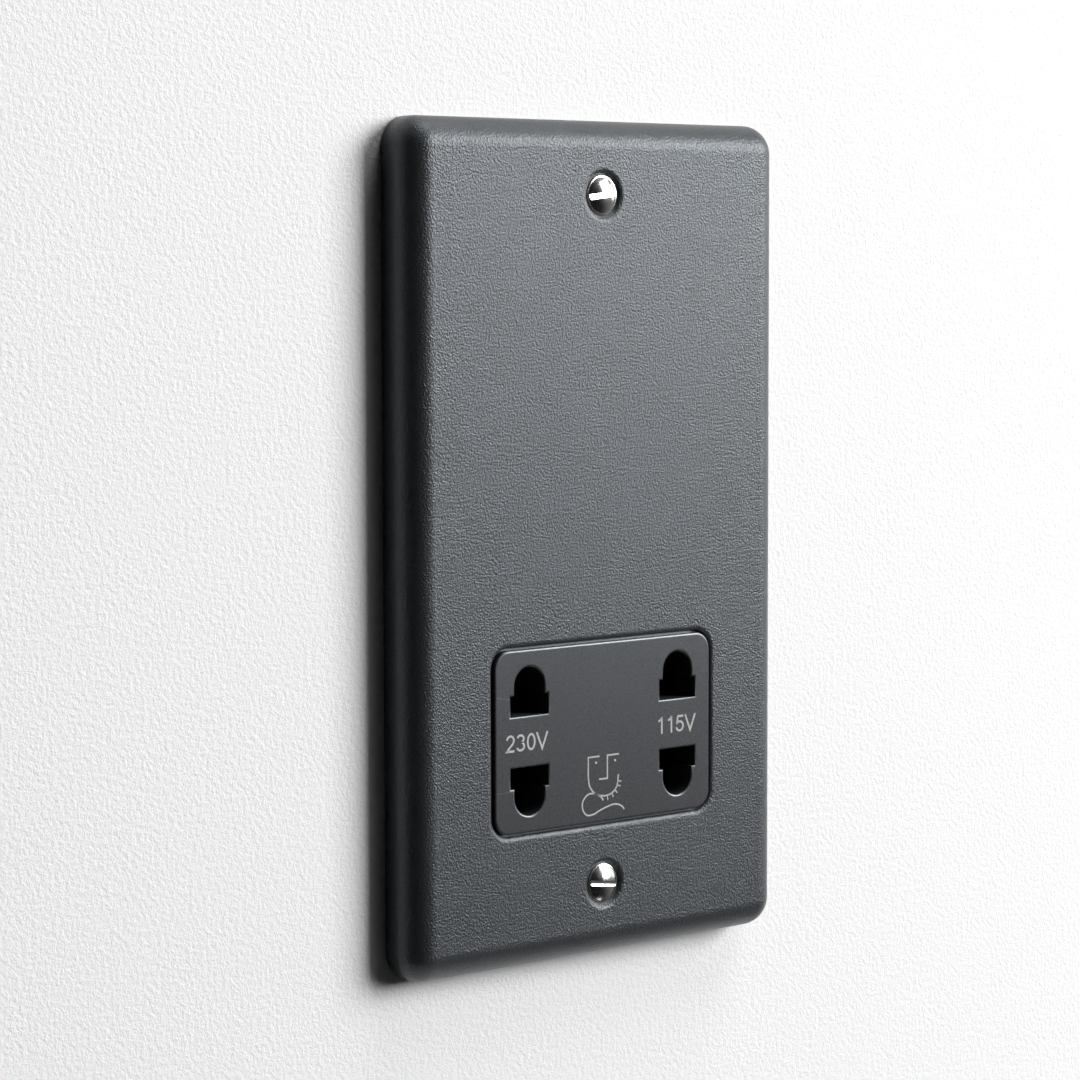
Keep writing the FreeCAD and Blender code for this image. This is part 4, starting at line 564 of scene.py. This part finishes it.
def build_weld_lines():
    """Two faint lines where the moulding's flows met."""
    skin = Skin()
    for line in WELD_LINES:
        add_stroke(skin, line, WELD_STROKE, WELD_LEVEL)
    return skin.piece("weld_lines")


# Springs: strip folded to and fro, each kept at one shape; the real ones close up as the shutter
# and the pusher move

def folded_line(centre, half, folds):
    """Middle line of a strip folded to and fro, from one end of its box to the other."""
    reach, top = half[0] - STRIP / 2, half[1] - STRIP / 2
    pitch = 2 * reach / (2 * folds - 1)
    bend = min(pitch / 2, 0.8 * top)
    line = [(-reach, -top)]
    for turn in range(2 * folds - 1):
        side = 1 if turn % 2 == 0 else -1
        middle = pitch * (turn + 0.5) - reach
        line += ellipse((middle, side * (top - bend)), (pitch / 2, side * bend), 180, 0, 12)
    line.append((reach, -top))
    return [(centre[0] + along, centre[1] + across) for along, across in line]


def node_box(node):
    """Middle and half size of a CAD node, in millimetres."""
    low, high = (Vector(corner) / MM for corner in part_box(node))
    return (low + high) / 2, (high - low) / 2


def build_shutter_spring():
    middle, half = node_box("shutter_spring")
    skin = Skin()
    line = folded_line((middle.x, middle.z), (half.x, half.z), SHUTTER_FOLDS)
    add_stroke(skin, line, STRIP, middle.y - half.y, 2 * half.y)
    return skin.piece("shutter_strip_spring")


def build_pusher_springs():
    middle, half = node_box("pusher_springs")
    skin = Skin()
    for side in SIDES:
        centre = (middle.y, PUSHER_SPRING_X * side)
        line = folded_line(centre, (half.y, half.x - PUSHER_SPRING_X), PUSHER_FOLDS)
        add_stroke(skin, line, STRIP, middle.z - half.z, 2 * half.z)
    skin.points = [Vector((z, x, y)) for x, y, z in skin.points]
    return skin.piece("pusher_strip_springs")


# Materials, all from nodes

def new_material(name, colour, roughness, metallic=0.0, **sockets):
    material = bpy.data.materials.new(name)
    material.use_nodes = True
    shader = material.node_tree.nodes["Principled BSDF"]
    shader.inputs["Base Color"].default_value = (*colour, 1)
    shader.inputs["Roughness"].default_value = roughness
    shader.inputs["Metallic"].default_value = metallic
    for socket, value in sockets.items():
        shader.inputs[socket.replace("_", " ")].default_value = value
    return material


def add_node(material, kind, settings=None, **inputs):
    node = material.node_tree.nodes.new(kind)
    for name, value in (settings or {}).items():
        setattr(node, name, value)
    for name, value in inputs.items():
        node.inputs[name.replace("_", " ")].default_value = value
    return node


def join(material, source, target):
    material.node_tree.links.new(source, target)


def place_coordinates(material, stretch=(1, 1, 1), turn=(0, 0, 0)):
    """Coordinates of the piece itself, in metres, stretched along its axes and turned."""
    where = add_node(material, "ShaderNodeTexCoord")
    scale = add_node(material, "ShaderNodeMapping", Scale=stretch, Rotation=turn)
    join(material, where.outputs["Object"], scale.inputs["Vector"])
    return scale.outputs["Vector"]


# A turn that keeps the grains of noise from lining up with the flats
ASKEW = (0.62, 0.35, 0.81)


def noise(material, where, grain_mm, detail=3.0, roughness=0.55):
    """Noise whose grains are about that many millimetres across."""
    made = add_node(material, "ShaderNodeTexNoise", Scale=1 / (grain_mm * MM), Detail=detail,
                    Roughness=roughness)
    join(material, where, made.inputs["Vector"])
    return made.outputs["Fac"]


SPAN_INPUTS = ("From Min", "From Max", "To Min", "To Max")


def spread_value(material, source, low, high, start=0.3, end=0.7):
    """The source's span from start to end, stretched to the one from low to high."""
    span = add_node(material, "ShaderNodeMapRange")
    for name, value in zip(SPAN_INPUTS, (start, end, low, high)):
        span.inputs[name].default_value = value
    join(material, source, span.inputs["Value"])
    return span.outputs["Result"]


def tint(material, source, dark, light):
    """Colour between two, from a value of 0 to 1."""
    ramp = add_node(material, "ShaderNodeValToRGB")
    ramp.color_ramp.elements[0].position = 0.3
    ramp.color_ramp.elements[0].color = (*dark, 1)
    ramp.color_ramp.elements[1].position = 0.7
    ramp.color_ramp.elements[1].color = (*light, 1)
    join(material, source, ramp.inputs["Fac"])
    return ramp.outputs["Color"]


def bump(material, height, distance_mm, before=None):
    made = add_node(material, "ShaderNodeBump", Distance=distance_mm * MM)
    join(material, height, made.inputs["Height"])
    if before:
        join(material, before, made.inputs["Normal"])
    return made.outputs["Normal"]


def finish_shader(material, colour=None, roughness=None, normal=None):
    shader = material.node_tree.nodes["Principled BSDF"]
    for name, value in (("Base Color", colour), ("Roughness", roughness), ("Normal", normal)):
        if value:
            join(material, value, shader.inputs[name])
    return material


def shades(colour, span):
    return [tuple(c * (1 - span) for c in colour), tuple(c * (1 + span) for c in colour)]


def powder_coat():
    """Fine sand texture of a baked powder, in graphite."""
    colour = (0.030, 0.032, 0.035)
    # The bluish specular tint is painted light: it gives the coat's reflections the colour of a
    # cool key lamp.
    material = new_material("powder_coat", colour, 0.4, Specular_Tint=(0.86, 0.94, 1.0, 1.0))
    where = place_coordinates(material, turn=ASKEW)
    coarse = noise(material, where, grain_mm=0.34, detail=2.0, roughness=0.5)
    fine = noise(material, where, grain_mm=0.20, detail=2.0, roughness=0.6)
    cloud = noise(material, where, grain_mm=9.0, detail=2.0)
    normal = bump(material, coarse, distance_mm=0.13)
    normal = bump(material, fine, distance_mm=0.03, before=normal)
    return finish_shader(material, tint(material, cloud, *shades(colour, 0.06)),
                         spread_value(material, fine, 0.27, 0.34), normal)


def moulding(name, colour, roughness=0.42, grain_mm=0.16, height_mm=0.006, **sockets):
    """Moulded plastic: fine spark texture and faint flow marks."""
    material = new_material(name, colour, roughness, **sockets)
    where = place_coordinates(material, turn=ASKEW)
    flow = noise(material, place_coordinates(material, (1, 1, 0.3)), 6.0)
    spark = noise(material, where, grain_mm, 2.0)
    return finish_shader(material, tint(material, flow, *shades(colour, 0.07)),
                         spread_value(material, spark, roughness - 0.05, roughness + 0.06),
                         bump(material, spark, height_mm))


def metal(name, colour, roughness, stretch=(1, 1, 1), grain_mm=0.3, height_mm=0.002, shade=0.06):
    """Metal with drawn or tumbled marks and slight tarnish."""
    material = new_material(name, colour, roughness, 1.0)
    where = place_coordinates(material, stretch)
    marks = noise(material, where, grain_mm, 4.0, 0.6)
    tarnish = noise(material, place_coordinates(material), 2.5)
    return finish_shader(material, tint(material, tarnish, *shades(colour, shade)),
                         spread_value(material, marks, roughness * 0.75, roughness * 1.3),
                         bump(material, marks, height_mm))


def wave_scale(pitch_mm):
    """Scale of a wave texture that repeats at that pitch, as it makes 10 / pi bands a unit."""
    return math.pi / 10 / (pitch_mm * MM)


def lined(name, colour, roughness, axis, pitch_mm, height_mm, metallic=0.0):
    """Close parallel lines across one axis: wire turns or stacked laminations."""
    material = new_material(name, colour, roughness, metallic)
    where = place_coordinates(material)
    wave = add_node(material, "ShaderNodeTexWave", {"bands_direction": axis}, Distortion=0.4,
                    Detail=1.0, Scale=wave_scale(pitch_mm), Detail_Scale=0.02)
    join(material, where, wave.inputs["Vector"])
    cloud = noise(material, where, 3.0)
    return finish_shader(material, tint(material, wave.outputs["Fac"], *shades(colour, 0.3)),
                         spread_value(material, cloud, roughness - 0.08, roughness + 0.1),
                         bump(material, wave.outputs["Fac"], height_mm))


def laminate():
    """Green resist over a woven glass board."""
    colour = (0.045, 0.16, 0.06)
    material = new_material("board_resist", colour, 0.3, Coat_Weight=0.3)
    where = place_coordinates(material)
    weave = add_node(material, "ShaderNodeMath", {"operation": "MULTIPLY"})
    for axis, factor in zip(("X", "Z"), weave.inputs):
        wave = add_node(material, "ShaderNodeTexWave", {"bands_direction": axis},
                        Scale=wave_scale(0.9))
        join(material, where, wave.inputs["Vector"])
        join(material, wave.outputs["Fac"], factor)
    cloud = noise(material, where, 4.0)
    return finish_shader(material, tint(material, cloud, *shades(colour, 0.15)),
                         spread_value(material, cloud, 0.25, 0.36),
                         bump(material, weave.outputs["Value"], 0.004))


def print_ink():
    """Pale ink, a little uneven where it is thin."""
    colour = (0.42, 0.42, 0.41)
    material = new_material("pad_print", colour, 0.5)
    where = place_coordinates(material)
    thin = noise(material, where, 0.25)
    return finish_shader(material, tint(material, thin, *shades(colour, 0.18)),
                         spread_value(material, thin, 0.42, 0.6), bump(material, thin, 0.004))


def give(material, *pieces):
    for piece in pieces:
        piece.data.materials.clear()
        piece.data.materials.append(material)


# Pieces of the scene, and the CAD nodes that they stand for

plate = build_plate()
face = build_face()
screws = [build_screw(name, side, angle) for name, side, angle
          in zip(("fixing_screw_upper", "fixing_screw_lower"), (1, -1), SLOT_ANGLES)]
words, sign, weld_lines = build_words(), build_sign(), build_weld_lines()
shutter_spring, pusher_springs = build_shutter_spring(), build_pusher_springs()

give(powder_coat(), plate)
# The bluish specular tint on the face is painted light: it gives its reflections the colour of a
# cool key lamp.
give(moulding("face_satin", (0.023, 0.024, 0.026), 0.29, 0.14, 0.003,
              Specular_Tint=(0.88, 0.94, 1.0, 1.0), Specular_IOR_Level=0.75), face)
give(metal("chrome_plating", (0.52, 0.52, 0.51), 0.16, grain_mm=0.8, height_mm=0.0015,
           shade=0.03), *screws)
give(print_ink(), words, sign)
give(moulding("weld_line", (0.11, 0.115, 0.12), 0.35, 0.14, 0.002), weld_lines)
give(metal("spring_steel", (0.50, 0.50, 0.49), 0.28, (1, 1, 8), 0.25),
     shutter_spring, pusher_springs)

for piece, nodes, slot in ((plate, ["front_plate"], "powder_coated_steel"),
                           (face, ["socket_face"], "dark_moulding"),
                           (screws[0], ["fixing_screws"], "chromed_steel"),
                           (screws[1], [], "chromed_steel"),
                           (words, [], "dark_moulding"), (sign, [], "dark_moulding"),
                           (weld_lines, [], "dark_moulding")):
    if nodes:
        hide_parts(*nodes)
    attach(piece, "root")

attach(shutter_spring, "root")
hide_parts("shutter_spring")
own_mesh(shutter_spring)
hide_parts("pusher_springs")
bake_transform(pusher_springs)

# Looks of the CAD nodes that are shown as they are

zinc = metal("zinc_plating", (0.60, 0.60, 0.57), 0.34, grain_mm=0.2, height_mm=0.003, shade=0.09)
brass = metal("stamped_brass", (0.70, 0.50, 0.20), 0.3, (1, 0.15, 1), 0.12, 0.003, 0.10)
black = moulding("housing_black", (0.018, 0.018, 0.019), 0.45, 0.35, 0.012)
NODE_LOOKS = {
    "inner_frame": moulding("frame_graphite", (0.035, 0.036, 0.039), 0.46, 0.3, 0.01),
    # The shutter is black plastic, made darker and duller than that as painted shade, so the
    # openings look black deep inside.
    "shutter": moulding("shutter_black_and_shade", (0.004, 0.004, 0.005), 0.65, 0.2, 0.005,
                        Specular_IOR_Level=0.15),
    "rear_housing": black,
    "terminal_block": moulding("terminal_black", (0.022, 0.021, 0.021), 0.4, 0.25, 0.008),
    "microswitch_body": moulding("switch_black", (0.02, 0.02, 0.022), 0.35, 0.15, 0.004),
    "thermal_cutout": moulding("cutout_body", (0.03, 0.028, 0.027), 0.3, 0.2, 0.004,
                               Coat_Weight=0.2),
    "pusher_bar": moulding("pusher_white", (0.74, 0.73, 0.69), 0.38, 0.2, 0.005),
    "microswitch_plunger": moulding("plunger_red", (0.45, 0.05, 0.03), 0.3, 0.15, 0.003),
    "transformer_bobbin": moulding("bobbin_nylon", (0.70, 0.68, 0.60), 0.35, 0.3, 0.006),
    "board_screws": zinc,
    "terminal_screws": zinc,
    "plate_nuts": zinc,
    "contact_230_upper": brass,
    "contact_230_lower": brass,
    "contact_115_upper": brass,
    "contact_115_lower": brass,
    "terminal_earth": brass,
    "terminal_neutral": brass,
    "terminal_live": brass,
    "earth_strap": brass,
    "transformer_core": lined("core_laminations", (0.16, 0.15, 0.14), 0.4, "Y", 0.5, 0.04, 0.7),
    "primary_winding": lined("fine_wire", (0.50, 0.19, 0.07), 0.3, "Z", 0.25, 0.05, 0.6),
    "secondary_winding": lined("stout_wire", (0.55, 0.24, 0.09), 0.28, "Z", 0.5, 0.10, 0.6),
    "circuit_board": laminate(),
    "winding_leads": moulding("lead_sleeve", (0.62, 0.61, 0.57), 0.35, 0.3, 0.004),
}
for node, material in NODE_LOOKS.items():
    give(material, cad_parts[node])


# Wall, floor, light and camera

def seen_rays(tree):
    """1 for rays that show a thing, straight or mirrored or through glass, and 0 for others."""
    rays = tree.nodes.new("ShaderNodeLightPath")
    seen = rays.outputs["Is Camera Ray"]
    for name in ("Is Glossy Ray", "Is Transmission Ray"):
        either = tree.nodes.new("ShaderNodeMath")
        either.operation = "MAXIMUM"
        tree.links.new(seen, either.inputs[0])
        tree.links.new(rays.outputs[name], either.inputs[1])
        seen = either.outputs["Value"]
    return seen


def one_sided(name, shade, corners, faces, colour, bounce, grain_mm, height_mm):
    """A painted sheet that is seen from its front only, with its share of light passed on."""
    mesh = bpy.data.meshes.new(name)
    mesh.from_pydata(corners, [], faces)
    sheet = add_object(name, mesh)
    material = new_material(shade, (colour,) * 3, 0.85)
    where = place_coordinates(material)
    coarse = noise(material, where, grain_mm, detail=5.0, roughness=0.6)
    fine = noise(material, where, grain_mm / 3, detail=3.0, roughness=0.6)
    normal = bump(material, fine, height_mm / 4, bump(material, coarse, height_mm))
    tree = material.node_tree
    paint = spread_value(material, seen_rays(tree), colour * bounce, colour, 0.0, 1.0)
    finish_shader(material, paint, None, normal)
    shader, output = tree.nodes["Principled BSDF"], tree.nodes["Material Output"]
    shader.inputs["Specular IOR Level"].default_value = 0.1
    facing = add_node(material, "ShaderNodeNewGeometry")
    clear = add_node(material, "ShaderNodeBsdfTransparent")
    mix = add_node(material, "ShaderNodeMixShader")
    join(material, facing.outputs["Backfacing"], mix.inputs["Fac"])
    join(material, shader.outputs["BSDF"], mix.inputs[1])
    join(material, clear.outputs["BSDF"], mix.inputs[2])
    join(material, mix.outputs["Shader"], output.inputs["Surface"])
    give(material, sheet)


# The wall is open behind the plate, where its box sits
FLOOR_LEVEL, FLOOR_REACH = -0.6, 0.4
WALL_REACH, WALL_TOP = 3, 2.4
WALL_OPENING = (0.0414, 0.07165)
ROUND = ((-1, -1), (1, -1), (1, 1), (-1, 1))

wall_corners = [(i * WALL_REACH, 0, WALL_TOP if j > 0 else FLOOR_LEVEL) for i, j in ROUND]
wall_corners += [(i * WALL_OPENING[0], 0, j * WALL_OPENING[1]) for i, j in ROUND]
wall_faces = [(i, (i + 1) % 4, (i + 1) % 4 + 4, i + 4) for i in range(4)]
one_sided("wall", "wall_paint", wall_corners, wall_faces,
          colour=0.90, bounce=1.0, grain_mm=0.9, height_mm=0.20)
floor_corners = [(i * FLOOR_REACH, j * FLOOR_REACH, FLOOR_LEVEL) for i, j in ROUND]
one_sided("floor", "floor_paint", floor_corners, [(0, 1, 2, 3)],
          colour=0.80, bounce=0.15, grain_mm=3.0, height_mm=0.05)


def add_lamp(name, place, size, power):
    """A soft rectangular lamp that faces the socket."""
    light = bpy.data.lights.new(name, "AREA")
    light.shape = "RECTANGLE"
    light.size, light.size_y = size
    light.energy = power
    lamp = add_object(name, light)
    lamp.location = place
    lamp.rotation_mode = "QUATERNION"
    lamp.rotation_quaternion = (-Vector(place)).to_track_quat("-Z", "Y")


add_lamp("key", (1.66, -1.44, 0.69), (1.15, 1.3), 82.0)
add_lamp("top", (0.5, -0.45, 1.5), (0.8, 0.8), 12.0)
add_lamp("right", (2.2, -0.35, 0.3), (0.8, 1.0), 4.5)
add_lamp("behind", (-0.5, 1.4, 0.9), (1.0, 1.0), 14.0)


def light_world():
    """White to the eye. As a light it is dim in front and paler right, above and behind."""
    world = bpy.data.worlds.new("studio")
    bpy.context.scene.world = world
    world.use_nodes = True
    tree = world.node_tree
    background = tree.nodes["Background"]
    background.inputs["Color"].default_value = (1, 1, 1, 1)
    where = tree.nodes.new("ShaderNodeTexCoord")

    def towards(direction, start, end, low, high):
        dot = tree.nodes.new("ShaderNodeVectorMath")
        dot.operation = "DOT_PRODUCT"
        dot.inputs[1].default_value = direction
        tree.links.new(where.outputs["Generated"], dot.inputs[0])
        span = tree.nodes.new("ShaderNodeMapRange")
        span.interpolation_type = "SMOOTHSTEP"
        for name, value in zip(SPAN_INPUTS, (start, end, low, high)):
            span.inputs[name].default_value = value
        tree.links.new(dot.outputs["Value"], span.inputs["Value"])
        return span.outputs["Result"]

    def room(low, high, behind):
        """Strength from low to high towards the right and above, and another one behind."""
        side = towards(Vector((0.80, 0.30, 0.50)).normalized(), -0.2, 0.95, low, high)
        both = tree.nodes.new("ShaderNodeMath")
        both.operation = "MAXIMUM"
        tree.links.new(side, both.inputs[0])
        tree.links.new(towards((0, 1, 0), 0.0, 0.3, 0.0, behind), both.inputs[1])
        return both.outputs["Value"]

    def pick(chosen, when_off, when_on):
        mix = tree.nodes.new("ShaderNodeMix")
        tree.links.new(chosen, mix.inputs["Factor"])
        tree.links.new(when_off, mix.inputs["A"])
        if isinstance(when_on, float):
            mix.inputs["B"].default_value = when_on
        else:
            tree.links.new(when_on, mix.inputs["B"])
        return mix.outputs["Result"]

    camera_ray = tree.nodes.new("ShaderNodeLightPath").outputs["Is Camera Ray"]
    lit = pick(seen_rays(tree), room(0.0025, 0.02, 0.5), room(0.012, 0.35, 0.8))
    tree.links.new(pick(camera_ray, lit, 0.9), background.inputs["Strength"])


light_world()

# The camera, fitted to the photograph's plate, face and screws

YAW, PITCH, ROLL = math.radians(40.69), math.radians(4.70), math.radians(-0.14)
camera = add_object("camera", bpy.data.cameras.new("camera"))
camera.data.lens = 112.3
camera.data.sensor_width = 36.0
camera.data.clip_start = 0.01
camera.location = (-0.3908, -0.4451, 0.0486)
sight = Vector((math.sin(YAW) * math.cos(PITCH), math.cos(YAW) * math.cos(PITCH),
                -math.sin(PITCH)))
camera.rotation_mode = "QUATERNION"
camera.rotation_quaternion = (sight.to_track_quat("-Z", "Y").to_matrix()
                              @ Matrix.Rotation(ROLL, 3, "Z")).to_quaternion()
bpy.context.scene.camera = camera
bpy.context.scene.view_settings.view_transform = "Standard"
